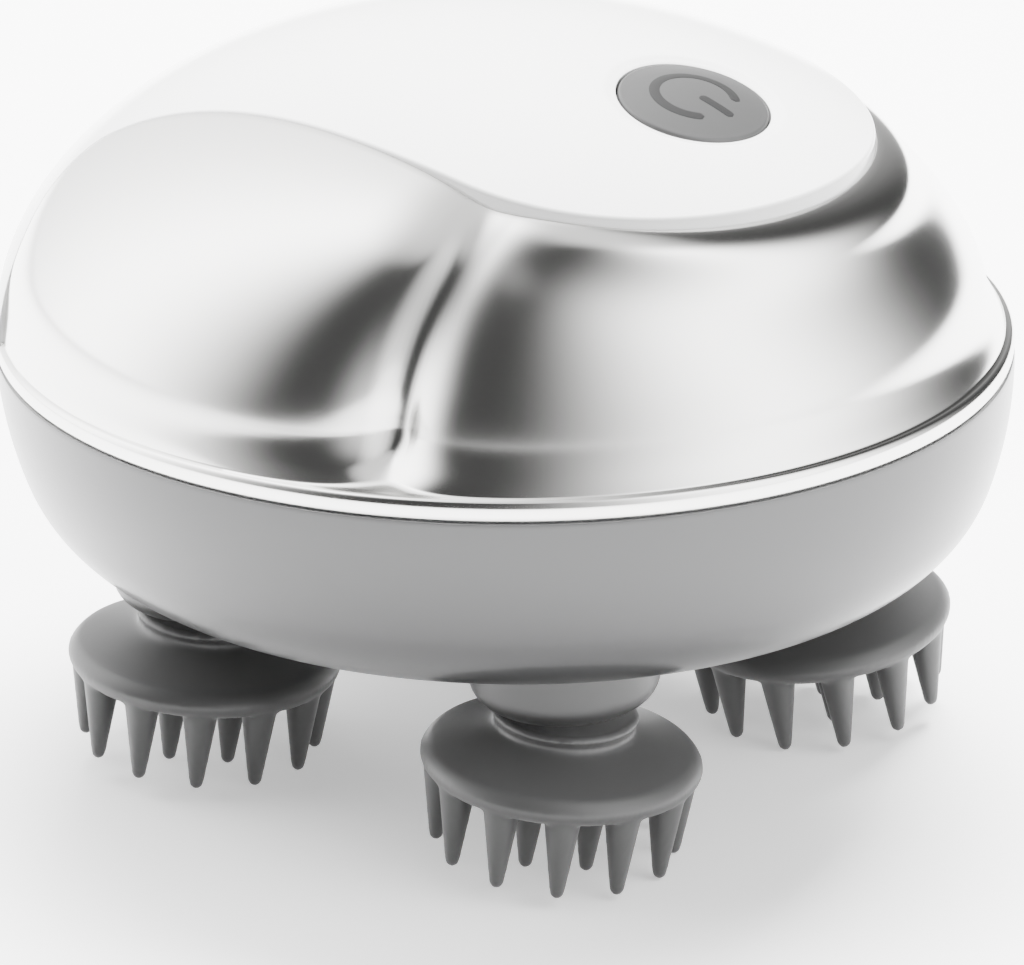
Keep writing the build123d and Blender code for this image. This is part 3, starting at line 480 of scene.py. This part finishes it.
def chrome_band():
    """Waist band with convex lobes, creases, hollow skirt, lip and rolled hem."""
    half = deck_half()
    tail = [index for index, (kind, _) in enumerate(half) if kind in ("corner", "rear")]
    sections = []
    for index, (kind, point) in enumerate(half):
        foot_x = rim_foot(kind, point, index - tail[0], len(tail) - 1)
        sections.append(band_section(band_unit_at(*point), rim_unit(foot_x, 1)))
    last = sections[-1]
    middle = tuple(sum(point[axis] for point in last[:-1]) / (len(last) - 1) for axis in range(3))
    sections.append([middle] * len(last))
    return lofted("waist_band", mirrored(sections))


def deck_guide(kind, point, share):
    """Plan point inside the cover through which its sections run to the edge."""
    if kind in ("nose", "flank"):
        x = point[0] * 0.9 + 2.0
        return x, point[1] * 0.62
    if kind == "corner":
        return between(CORNER_GUIDE, REAR_GUIDE, share)
    if kind == "rear":
        return between(REAR_GUIDE, RIM_GUIDE, share)
    return between(RIM_GUIDE, TAIL_GUIDE, share)


def cover_edge(top, inward, down, depth):
    """Rounded edge and wall of the cover at one point of its outline."""
    points = []
    for turn in (0, 25, 50, 75, 90):
        angle = math.radians(turn)
        along = DECK_EDGE_ROUND * (1 - math.sin(angle))
        drop = DECK_EDGE_ROUND * (1 - math.cos(angle))
        points.append(top + inward * (along + DECK_SEAM) + down * drop)
    points.append(top + inward * DECK_SEAM + down * (depth * 0.9))
    points.append(top + inward * 1.5 + down * depth)
    return points


def wall_depth(kind, edge):
    """Height of the cover's wall: down to its lining, which is farther below the drawn-out front."""
    if kind in ("nose", "flank"):
        return DECK.point(DECK.unit(*edge)).z - LINING.point(LINING.unit(*edge)).z
    return COVER_WALL


def cover_section(kind, edge, guide, angle, rows=(30, 44)):
    """Closed section of the cover from the button hole over the skin to its edge and back inside."""
    hole = BUTTON_RADIUS + BUTTON_GAP
    dish = []
    for step in range(9):
        share = step / 8
        unit = DECK.over_button(hole + DISH_WIDTH * share, angle)
        drop = DISH_DROP * (1 - smooth(share, 0, 1)) + (0.12 if step == 0 else 0)
        dish.append(DECK.point(unit) - DECK.normal(unit) * drop)
    start, middle, end = unit, DECK.unit(*guide), DECK.unit(*edge)
    skin = [DECK.point(toward(start, middle, row / rows[0])) for row in range(1, rows[0] + 1)]
    length = (DECK.point(end) - DECK.point(middle)).length
    stop = 1 - (DECK_EDGE_ROUND + DECK_SEAM) / length
    for row in range(1, rows[1]):
        skin.append(DECK.point(toward(middle, end, stop * (1 - (1 - row / rows[1]) ** 1.3))))
    inward = (DECK.point(toward(end, middle, 0.02)) - DECK.point(end)).normalized()
    down = down_from(end) if kind != "rim" else -DOME.normal(end)
    lip = cover_edge(DECK.point(end), inward, down, wall_depth(kind, edge))
    low, inner, mouth = DOME.unit(*edge), DOME.unit(*guide), LINING.over_button(hole, angle)
    under = [LINING.point(toward(low, inner, row / 6)) for row in range(1, 7)]
    under += [LINING.point(toward(inner, mouth, row / 6)) for row in range(1, 7)]
    points = dish + skin + lip + under + dish[:1]
    return [tuple(point) for point in points]


def cover_outline():
    """Half of the cover's outline: deck edge, then the rear rim, each with its guide and button angle."""
    half = deck_half(nose=70, flank=84, corner=22, rear=30)
    rim_steps = 64
    start = math.acos(DECK_REAR_X / HALF_LENGTH)
    for step in range(1, rim_steps + 1):
        angle = start + (math.pi - start) * step / rim_steps
        half.append(("rim", (HALF_LENGTH * math.cos(angle), HALF_WIDTH * math.sin(angle))))
    sizes = {kind: sum(k == kind for k, _ in half) for kind in ("nose", "flank", "corner", "rear", "rim")}
    spans = {
        "nose": (0, 85), "flank": (85, 140), "corner": (140, 147), "rear": (147, 156), "rim": (156, 180),
    }
    seen = dict.fromkeys(sizes, 0)
    outline = []
    for kind, point in half:
        last = sizes[kind] - (1 if kind in ("rear", "rim") else 0)
        share = (seen[kind] + (1 if kind == "rim" else 0)) / (last + (1 if kind == "rim" else 0))
        seen[kind] += 1
        low, high = spans[kind]
        angle = math.radians(low + (high - low) * share)
        outline.append((kind, point, deck_guide(kind, point, share), angle))
    return outline


def top_cover():
    """White cover with its dished button hole and rounded deck edge."""
    sections = [cover_section(*entry) for entry in cover_outline()]
    return lofted("deck_cover", mirrored(sections))


def bowl_outline(inset, steps):
    """Outline of the bowl from its rim to the middle of its floor."""
    half, depth = HALF_LENGTH - inset, BOWL_DEPTH - inset
    side, corner = SIDE_RADIUS - inset, CORNER_RADIUS - inset
    left = 90 - SIDE_TURN - CORNER_TURN
    points = arc((half - side, 0), side, 0, -SIDE_TURN, steps)
    end = points[-1]
    turn = math.radians(SIDE_TURN)
    centre = (end[0] - corner * math.cos(turn), end[1] + corner * math.sin(turn))
    points += arc(centre, corner, -SIDE_TURN, -SIDE_TURN - CORNER_TURN, steps)[1:]
    end = points[-1]
    turn = math.radians(SIDE_TURN + CORNER_TURN)
    floor = (depth + end[1]) / (1 - math.cos(math.radians(left)))
    centre = (end[0] - floor * math.cos(turn), end[1] + floor * math.sin(turn))
    points += arc(centre, floor, -SIDE_TURN - CORNER_TURN, -90, steps)[1:]
    edge = points[-1][0]
    points += [(edge * (1 - step / steps), -depth) for step in range(1, steps + 1)]
    return points


def bowl_height(x, y):
    """Height of the bowl's skin over a plan point."""
    radius = HALF_LENGTH * math.hypot(x / HALF_LENGTH, y / HALF_WIDTH)
    outline = bowl_outline(0.0, 40)
    for (r0, z0), (r1, z1) in zip(outline, outline[1:]):
        if r1 <= radius <= r0 and r0 > r1:
            return RIM_Z + z0 + (z1 - z0) * (r0 - radius) / (r0 - r1)
    return FLOOR_Z


def narrowed(piece):
    """Round form made as narrow as the housing's oval plan."""
    return placed(piece, Matrix.Diagonal((1, HALF_WIDTH / HALF_LENGTH, 1, 1)))


def screw_wells():
    """Posts round the four screw holes, and the cutter that opens them from below."""
    posts, bores = [], []
    below, seat = FLOOR_Z - 2, FLOOR_Z + WELL_SEAT
    post_top, bore_top = seat + 2, seat + 3
    for x, y in WELLS:
        low = bowl_height(x, y) + SHELL_WALL / 2
        post = turned("well_post", [
            (0, low), (WELL_WALL_RADIUS, low), (WELL_WALL_RADIUS, post_top), (0, post_top),
        ], WELL_STEPS)
        bore = turned("well_bore", [
            (0, below), (WELL_RADIUS, below), (WELL_RADIUS, seat),
            (WELL_BORE, seat), (WELL_BORE, bore_top), (0, bore_top),
        ], WELL_STEPS)
        place = Matrix.Translation((x * MM, y * MM, 0))
        posts.append(placed(post, place))
        bores.append(placed(bore, place))
    return joined(posts, "well_posts"), joined(bores, "well_bores")


def socket_cutter():
    """Cutter of the charging recess and of the plug's hole in its floor."""
    sink = SIDE_RADIUS - math.sqrt(SIDE_RADIUS**2 - SOCKET_LEVEL**2)
    cutter = turned("socket_cutter", [
        (0, -5.0), (PLUG_RADIUS, -5.0), (PLUG_RADIUS, -SOCKET_DEPTH), (SOCKET_RADIUS, -SOCKET_DEPTH),
        (SOCKET_RADIUS, -0.15), (SOCKET_RADIUS + 0.25, 0.2), (SOCKET_RADIUS + 0.25, 4.0), (0, 4.0),
    ], 96)
    place = Matrix.Translation(((sink - HALF_LENGTH) * MM, 0, (RIM_Z + SOCKET_LEVEL) * MM))
    return placed(cutter, place @ Matrix.Rotation(math.radians(-90), 4, "Y"))


def merged(piece, other, operation):
    """Piece united with another form, or cut by it."""
    apply_modifier(piece, "BOOLEAN", operation=operation, object=other, solver="EXACT")
    bpy.data.objects.remove(other)
    return piece


def lower_shell():
    """Gray bowl with its wall, charging recess and screw wells."""
    outer, inner = bowl_outline(0.0, 22), bowl_outline(SHELL_WALL, 8)
    edge = outer[0][0]
    outline = inner[::-1] + [(edge - 0.3, 0.0), (edge - 0.06, -0.06), (edge, -0.3)] + outer[1:]
    shell = placed(narrowed(turned("shell_bowl", outline, 288)), Matrix.Translation((0, 0, RIM_Z * MM)))
    posts, bores = screw_wells()
    merged(shell, posts, "UNION")
    merged(shell, bores, "DIFFERENCE")
    return close_up(merged(shell, socket_cutter(), "DIFFERENCE"))


# ---------- massage heads ----------

def head_outline():
    """Trumpet outline of a head: bored top, neck, flared disc and rounded rim."""
    flare = []
    for step in range(17):
        share = step / 16
        radius = NECK_WAIST + (DISC_RADIUS - 0.9 - NECK_WAIST) * (1 - (1 - share) ** 1.25)
        flare.append((radius, -1.6 - (DISC_TOP - 0.25 - 1.6) * share ** 0.62))
    rim_low, rim_high = -DISC_BOTTOM, -DISC_TOP
    middle = (rim_low + rim_high) / 2
    rim = [
        (DISC_RADIUS - 0.35, rim_high - 0.35),
        (DISC_RADIUS, middle + 0.2),
        (DISC_RADIUS - 0.1, middle - 0.5),
    ]
    return (
        [(0, -0.85), (3.1, -0.85), (3.1, -0.15), (3.3, 0), (NECK_RADIUS - 0.5, 0), (NECK_RADIUS, -0.5)]
        + flare + rim + [(DISC_RADIUS - 0.7, rim_low), (0, rim_low)]
    )


def peg_outline():
    """Outline of one finger, from its root inside the disc to its round tip."""
    root_z, tip_z = -DISC_BOTTOM + 0.8, -PEG_REACH + PEG_TIP_RADIUS
    root, tip = (PEG_ROOT_RADIUS, root_z), (PEG_TIP_RADIUS, tip_z)
    points = [(0, root_z), root] + [between(root, tip, step / 4) for step in range(1, 5)]
    points += arc((0, tip_z), PEG_TIP_RADIUS, 0, -90, 5)[1:]
    return points


def soft_head():
    """Silicone head in its own frame, moulded as one: disc, neck and fingers run into each other."""
    disc = turned("head_form", head_outline(), 96)
    finger = turned("finger_form", peg_outline(), 24)
    forms = [disc]
    for count, circle in PEG_CIRCLES:
        for index in range(count):
            turn = Matrix.Rotation(math.tau * index / count, 4, "Z")
            twin = copied(finger, "finger_form")
            forms.append(placed(twin, turn @ Matrix.Translation((circle * MM, 0, 0))))
    bpy.data.objects.remove(finger)
    head = joined(forms, "head_form")
    apply_modifier(head, "REMESH", mode="VOXEL", voxel_size=SILICONE_VOXEL * MM)
    apply_modifier(head, "SMOOTH", factor=0.5, iterations=5)
    only(head)
    bpy.ops.object.shade_smooth()
    return head


def head_frame(sign_x, sign_y, lean):
    """Matrix of an inclined head, its origin where the shaft bends."""
    place = Matrix.Translation((sign_x * HEAD_X * MM, sign_y * HEAD_Y * MM, PIVOT_Z * MM))
    return place @ Matrix.Rotation(math.radians(lean), 4, "Z") @ Matrix.Rotation(TILT, 4, "Y")


# ---------- power button ----------

def crown(radius):
    """Height of the button's crown at a radius from its axis."""
    edge = BUTTON_RADIUS - BUTTON_EDGE_ROUND
    sphere = (edge**2 + BUTTON_CROWN**2) / (2 * BUTTON_CROWN)
    return -BUTTON_SINK - sphere + math.sqrt(sphere**2 - radius**2)


def power_button():
    """Crowned button cap with a softened edge."""
    edge = BUTTON_RADIUS - BUTTON_EDGE_ROUND
    top = [(edge * step / 14, crown(edge * step / 14)) for step in range(15)]
    side = arc((edge, crown(edge) - BUTTON_EDGE_ROUND), BUTTON_EDGE_ROUND, 90, 0, 5)[1:]
    low, flange = -BUTTON_SINK - BUTTON_THICKNESS, BUTTON_RADIUS + BUTTON_FLANGE
    outline = top + side + [(BUTTON_RADIUS, low), (flange, low), (flange, low - 1.0), (0, low - 1.0)]
    cap = turned("button_cap", outline, 128)
    return placed(cap, in_metres(button_frame()))


def in_metres(matrix):
    """The same frame with its origin in metres."""
    scaled = matrix.copy()
    scaled.translation = matrix.translation * MM
    return scaled


def sign_stroke(path, name):
    """Thin raised stroke of the power sign along a path on the crown, with round ends."""
    half = SIGN_STROKE / 2
    sections = []
    count = len(path) - 1
    for index, (x, y) in enumerate(path):
        before, after = path[max(index - 1, 0)], path[min(index + 1, count)]
        dx, dy = after[0] - before[0], after[1] - before[1]
        size = math.hypot(dx, dy)
        run = min(index, count - index) * size / (2 if 0 < index < count else 1)
        width = half * math.sqrt(max(1 - (1 - min(run / half, 1)) ** 2, 0.0))
        section = []
        for across, lift in STROKE_SECTION:
            px, py = x - dy / size * width * across, y + dx / size * width * across
            section.append((px, py, crown(math.hypot(px, py)) + lift))
        sections.append(section)
    return lofted(name, sections)


def power_sign():
    """Generic standby sign: an open ring and a bar through its gap."""
    ring = arc((0, 0), SIGN_RADIUS, SIGN_GAP, 360 - SIGN_GAP, 90)
    start, end = SIGN_BAR
    bar = [(start + (end - start) * step / 30, 0) for step in range(31)]
    sign = joined([sign_stroke(ring, "sign_ring"), sign_stroke(bar, "sign_bar")], "power_sign")
    return placed(sign, in_metres(button_frame()))


# ---------- collars ----------

def collar(sign_x, sign_y, name):
    """Collar under the shell, its top fitted to the bowl and its lower end drawn in."""
    cx, cy = sign_x * HEAD_X, sign_y * HEAD_Y
    sections = []
    for step in range(97):
        angle = math.tau * step / 96
        across, along = math.cos(angle), math.sin(angle)
        height = bowl_height(cx + COLLAR_RADIUS * across, cy + COLLAR_RADIUS * along)
        section = [
            (COLLAR_BORE, COLLAR_Z + 3), (COLLAR_BORE, COLLAR_Z + 0.15),
            (COLLAR_BORE + 0.15, COLLAR_Z), (COLLAR_END_RADIUS - 0.3, COLLAR_Z),
        ]
        for turn in range(9):
            share = turn / 8
            radius = COLLAR_END_RADIUS + (COLLAR_RADIUS - COLLAR_END_RADIUS) * math.sin(share * math.pi / 2)
            level = COLLAR_Z + 0.25 + (COLLAR_TAPER - 0.25) * (1 - math.cos(share * math.pi / 2)) ** 0.9
            section.append((radius, min(level, height)))
        section.append((COLLAR_RADIUS, max(height + 0.4, COLLAR_Z + COLLAR_TAPER)))
        section.append((COLLAR_BORE, max(height, FLOOR_Z) + 0.6))
        section.append(section[0])
        sections.append([(cx + r * across, cy + r * along, z) for r, z in section])
    return lofted(name, sections)


# ---------- materials ----------

class Wire:
    """Socket of a shader tree that takes part in Python sums."""

    def __init__(self, finish, socket):
        self.finish, self.socket = finish, socket

    def sum(self, operation, *values):
        """Math node over this socket and up to one more value."""
        inputs = dict(enumerate((self, *values)))
        return self.finish.node("ShaderNodeMath", {"operation": operation}, inputs)

    def __add__(self, other):
        return self.sum("ADD", other)

    def __sub__(self, other):
        return self.sum("SUBTRACT", other)

    def __mul__(self, other):
        return self.sum("MULTIPLY", other)

    __radd__ = __add__


class Finish:
    """One procedural material on the Principled shader."""

    def __init__(self, name):
        self.material = bpy.data.materials.new(name)
        self.material.use_nodes = True
        self.tree = self.material.node_tree
        self.shader = self.tree.nodes["Principled BSDF"]
        self.place = self.node("ShaderNodeTexCoord", {}, {}, "Object")

    def node(self, kind, settings, inputs, output=0):
        """Add a node, give it its settings, then the values or links of its inputs."""
        made = self.tree.nodes.new(kind)
        for name, value in settings.items():
            setattr(made, name, value)
        for name, value in inputs.items():
            self.feed(made.inputs[name], value)
        return Wire(self, made.outputs[output])

    def feed(self, socket, value):
        """Link a wire or set a value."""
        if isinstance(value, Wire):
            self.tree.links.new(value.socket, socket)
        elif isinstance(value, tuple) and len(value) == 3 and socket.type == "RGBA":
            socket.default_value = (*value, 1.0)
        else:
            socket.default_value = value

    def noise(self, scale, detail=2.0, stretch=(1, 1, 1)):
        """Noise over the object, with its grain in lumps per metre."""
        mapped = self.node("ShaderNodeMapping", {}, {"Vector": self.place, "Scale": stretch})
        return self.node("ShaderNodeTexNoise", {}, {"Vector": mapped, "Scale": scale, "Detail": detail})

    def mix(self, share, first, second):
        """Colour between two others."""
        return self.node("ShaderNodeMix", {"data_type": "RGBA"}, {0: share, 6: first, 7: second}, 2)

    def bump(self, height, strength, distance):
        """Relief from a height."""
        relief = {"Height": height, "Strength": strength, "Distance": distance}
        return self.node("ShaderNodeBump", {}, relief)

    def axis(self, name):
        """One coordinate of the place."""
        return self.node("ShaderNodeSeparateXYZ", {}, {"Vector": self.place}, name)

    def eased(self, value, low, high, first, last):
        """Value carried smoothly from one range to another."""
        ends = {"Value": value, "From Min": low, "From Max": high, "To Min": first, "To Max": last}
        return self.node("ShaderNodeMapRange", {"interpolation_type": "SMOOTHSTEP"}, ends)

    def set(self, **inputs):
        """Feed the shader's sockets, spaces in their names written as underscores."""
        for name, value in inputs.items():
            self.feed(self.shader.inputs[name.replace("_", " ")], value)
        return self.material


def shade(colour, factor):
    """Colour made lighter or darker."""
    return tuple(min(channel * factor, 1.0) for channel in colour)


def moulded(name, colour, roughness, coat=0.0, grain=0.02, relief=0.04):
    """Moulded plastic: faint flow marks in its colour, uneven gloss and a fine skin."""
    finish = Finish(name)
    flow = finish.noise(24, 3.0, (1, 1, 1.8))
    fine = finish.noise(900, 2.0)
    finish.set(Coat_Weight=coat, Coat_Roughness=0.08)
    return finish.set(
        Base_Color=finish.mix(flow, shade(colour, 1 - grain), shade(colour, 1 + grain)),
        Roughness=roughness + (flow - 0.5) * 0.06 + (fine - 0.5) * 0.04,
        Normal=finish.bump(fine, relief, 0.00002),
    )


def satin_chrome(name, colour, roughness):
    """Satin chrome plating: faint clouds in its colour and an uneven haze."""
    finish = Finish(name)
    cloud = finish.noise(30, 2.0)
    haze = finish.noise(120, 3.0)
    finish.set(Metallic=1.0)
    return finish.set(
        Base_Color=finish.mix(cloud, shade(colour, 0.97), colour),
        Roughness=roughness + (haze - 0.5) * 0.03,
    )


def metal(name, colour, roughness, spread=0.05, stretch=(1, 1, 1), scale=260, relief=0.03):
    """Bare metal: streaked gloss, with the streaks stretched along an axis."""
    finish = Finish(name)
    streak = finish.noise(scale, 3.0, stretch)
    cloud = finish.noise(30, 2.0)
    finish.set(Metallic=1.0)
    return finish.set(
        Base_Color=finish.mix(cloud, shade(colour, 0.96), colour),
        Roughness=roughness + (streak - 0.5) * spread + (cloud - 0.5) * spread,
        Normal=finish.bump(streak, relief, 0.00001),
    )


def rubber(name, colour, roughness):
    """Silicone: satin skin with a soft bloom and fine moulding grain."""
    finish = Finish(name)
    bloom = finish.noise(60, 3.0)
    fine = finish.noise(1400, 2.0)
    finish.set(Sheen_Weight=0.12, Sheen_Roughness=0.5, Subsurface_Weight=0.0)
    return finish.set(
        Base_Color=finish.mix(bloom, shade(colour, 0.93), shade(colour, 1.05)),
        Roughness=roughness + (bloom - 0.5) * 0.1,
        Normal=finish.bump(fine, 0.08, 0.00003),
    )


def printed_board(name):
    """Green circuit board with copper runs under its mask."""
    finish = Finish(name)
    runs = finish.node(
        "ShaderNodeTexBrick", {"offset": 0.5},
        {"Vector": finish.place, "Scale": 420.0, "Mortar Size": 0.03}, "Fac",
    )
    finish.set(Coat_Weight=0.3)
    return finish.set(
        Base_Color=finish.mix(runs, (0.012, 0.11, 0.04), (0.03, 0.2, 0.08)),
        Roughness=0.32 + runs * 0.1,
        Normal=finish.bump(runs, 0.2, 0.00004),
    )


FINISHES = {
    "white_shell": moulded("white_gloss_plastic", (0.83, 0.83, 0.825), 0.2, 0.3, 0.01, 0.02),
    "chrome": satin_chrome("satin_chrome", (0.80, 0.795, 0.78), 0.14),
    "gray_shell": moulded("gray_gloss_plastic", (0.085, 0.085, 0.087), 0.3, 0.25, 0.02, 0.03),
    "button_gray": moulded("button_plastic", (0.043, 0.043, 0.043), 0.42),
    "sign_gray": moulded("sign_paint", (0.014, 0.014, 0.014), 0.5),
    "silicone": rubber("gray_silicone", (0.05, 0.05, 0.05), 0.48),
    "collar_plastic": moulded("collar_plastic", (0.032, 0.032, 0.032), 0.42),
    "dark_plastic": moulded("dark_plastic", (0.03, 0.03, 0.032), 0.45),
    "board": printed_board("printed_board"),
    "gold_contact": metal("gold_plate", (0.95, 0.68, 0.28), 0.2),
    "cell_wrap": moulded("cell_wrap", (0.02, 0.12, 0.32), 0.3, 0.2),
    "motor_can": metal("motor_can", (0.56, 0.56, 0.55), 0.34, 0.1, (1, 1, 0.05)),
    "steel": metal("ground_steel", (0.6, 0.6, 0.6), 0.24, 0.1, (1, 1, 0.05)),
    "brass": metal("brass", (0.86, 0.62, 0.26), 0.3, 0.08, (1, 1, 0.1)),
    "bush_bronze": metal("bush_bronze", (0.62, 0.4, 0.2), 0.42, 0.1),
    "gear_plastic": moulded("gear_plastic", (0.72, 0.7, 0.64), 0.4),
    "frame_plastic": moulded("frame_plastic", (0.07, 0.07, 0.075), 0.5),
    "seal_rubber": rubber("seal_rubber", (0.02, 0.02, 0.02), 0.55),
}


def dress(piece, slot, body, *nodes):
    """Give a piece the finish of its slot and the body it rides on, in place of its nodes."""
    piece.data.materials.clear()
    piece.data.materials.append(FINISHES[slot])
    if nodes:
        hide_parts(*nodes)
    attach(piece, body)


def finish_nodes():
    """Give every carried-over solid the finish of its slot."""
    for part in frame["record"]["subparts"]:
        mesh = frame["nodes"][part["node"]].data
        mesh.materials.clear()
        mesh.materials.append(FINISHES[part["material_slot"]])


# ---------- light, floor and camera ----------

AIM = Vector((0, 0, RIM_Z * MM))
CAMERA_AZIMUTH = math.radians(38.23)
CAMERA_RISE = math.radians(21.06)
CAMERA_ROLL = math.radians(-2.08)
CAMERA_DISTANCE = 0.6994
FOCAL = 6476.0
CENTRE = (500.8, 334.55)
PICTURE = (1024, 965)
SENSOR = 36.0
FLOOR_SIZE = 8.0
FLOOR_WHITE = (0.9, 0.9, 0.9)
FLOOR_GLOW = 0.5
LAMP_AZIMUTH, LAMP_RISE = 110, 62
LAMP_DISTANCE, LAMP_SIZE, LAMP_GLOW = 1.2, 0.9, 54.0


def camera():
    """Long lens at the product shot's angle, turned so that the frame needs no shift."""
    az, el = CAMERA_AZIMUTH, CAMERA_RISE
    back = Vector((math.sin(az) * math.cos(el), -math.cos(az) * math.cos(el), math.sin(el)))
    right = Vector((math.cos(az), math.sin(az), 0))
    up = back.cross(right)
    c, s = math.cos(CAMERA_ROLL), math.sin(CAMERA_ROLL)
    right, up = right * c + up * s, up * c - right * s
    spot = AIM + back * CAMERA_DISTANCE
    across = (PICTURE[0] / 2 - CENTRE[0]) / FOCAL
    rise = -(PICTURE[1] / 2 - CENTRE[1]) / FOCAL
    ahead = (-back + right * across + up * rise).normalized()
    side = ahead.cross(up).normalized()
    data = bpy.data.cameras.new("camera")
    data.sensor_width = SENSOR
    data.lens = FOCAL * SENSOR / PICTURE[0]
    data.clip_start, data.clip_end = 0.01, 50.0
    seen = bpy.data.objects.new("camera", data)
    bpy.context.scene.collection.objects.link(seen)
    turn = Matrix((side, side.cross(ahead), -ahead)).transposed().to_4x4()
    seen.matrix_world = Matrix.Translation(spot) @ turn
    bpy.context.scene.camera = seen


def high_lamp():
    """Broad soft lamp above the object, not mirrored in its skin."""
    az, el = math.radians(LAMP_AZIMUTH), math.radians(LAMP_RISE)
    out = Vector((math.cos(az) * math.cos(el), math.sin(az) * math.cos(el), math.sin(el)))
    data = bpy.data.lights.new("high_box", "AREA")
    data.shape, data.size, data.size_y = "RECTANGLE", LAMP_SIZE, LAMP_SIZE
    data.energy = LAMP_GLOW * math.pi * LAMP_SIZE * LAMP_SIZE
    lamp = bpy.data.objects.new("high_box", data)
    bpy.context.scene.collection.objects.link(lamp)
    lamp.location = AIM + out * LAMP_DISTANCE
    lamp.rotation_euler = out.to_track_quat("Z", "Y").to_euler()
    lamp.visible_glossy = False


def pale_floor():
    """Pale, faintly glowing floor round the object."""
    bare()
    bpy.ops.mesh.primitive_plane_add(size=1)
    floor = bpy.context.object
    floor.name = "floor"
    floor.data.transform(Matrix.Diagonal((FLOOR_SIZE, FLOOR_SIZE, 1, 1)))
    paper = moulded("floor_paper", FLOOR_WHITE, 0.8, 0.0, 0.004, 0.0)
    shader = paper.node_tree.nodes["Principled BSDF"]
    shader.inputs["Emission Color"].default_value = (1, 1, 1, 1)
    shader.inputs["Emission Strength"].default_value = FLOOR_GLOW
    floor.data.materials.append(paper)
    floor.visible_diffuse = False


# Soft banks of the light tent: azimuth in degrees, how tightly each is gathered, and its brightness
BANKS = ((-160, 7, 7.5), (2, 5, 6.2), (155, 5, 3.5))
TENT_SHADE = 0.08
TENT_ROOF = 1.6
TENT_BELOW = 0.35


class Surroundings(Finish):
    """Studio tent round the object, lighter and darker by direction."""

    def __init__(self, name):
        self.material = bpy.data.worlds.new(name)
        self.material.use_nodes = True
        bpy.context.scene.world = self.material
        self.tree = self.material.node_tree
        self.shader = self.tree.nodes["Background"]
        self.place = self.node("ShaderNodeTexCoord", {}, {}, "Generated")

    def bank(self, azimuth, focus, glow):
        """Light of one bank, which falls away softly to both sides of its azimuth."""
        turn = self.axis("Y").sum("ARCTAN2", self.axis("X")) - math.radians(azimuth)
        return turn.sum("COSINE").sum("MAXIMUM", 0.0).sum("POWER", focus) * glow


def tent():
    """Soft light from all round: bright banks, with darker stretches between them."""
    sky = Surroundings("studio")
    sides = TENT_SHADE
    for bank in BANKS:
        sides = sky.bank(*bank) + sides
    rise = sky.axis("Z")
    roof = sky.eased(rise, 0.92, 1.0, 0, 1)
    sky.set(
        Color=(1.0, 1.0, 1.0),
        Strength=(sides - sides * roof + roof * TENT_ROOF) * sky.eased(rise, -0.2, 0.0, TENT_BELOW, 1),
    )


def studio():
    """Pale floor in a soft light tent, with one broad lamp from above."""
    pale_floor()
    tent()
    high_lamp()


def build():
    """Model, dress and place every piece."""
    dress(chrome_band(), "chrome", "housing", "chrome_band")
    dress(top_cover(), "white_shell", "housing", "top_cover")
    dress(lower_shell(), "gray_shell", "housing", "lower_shell")
    dress(power_button(), "button_gray", "button", "power_button")
    dress(power_sign(), "sign_gray", "button")
    head = soft_head()
    for name, (sign_x, sign_y, lean) in HEADS.items():
        twin = placed(copied(head, f"soft_head_{name}"), head_frame(sign_x, sign_y, lean))
        dress(twin, "silicone", f"head_{name}", f"massage_head_{name}")
        ring = collar(sign_x, sign_y, f"collar_{name}")
        dress(ring, "collar_plastic", "housing", f"head_collar_{name}")
    bpy.data.objects.remove(head)


finish_nodes()
build()
studio()
camera()
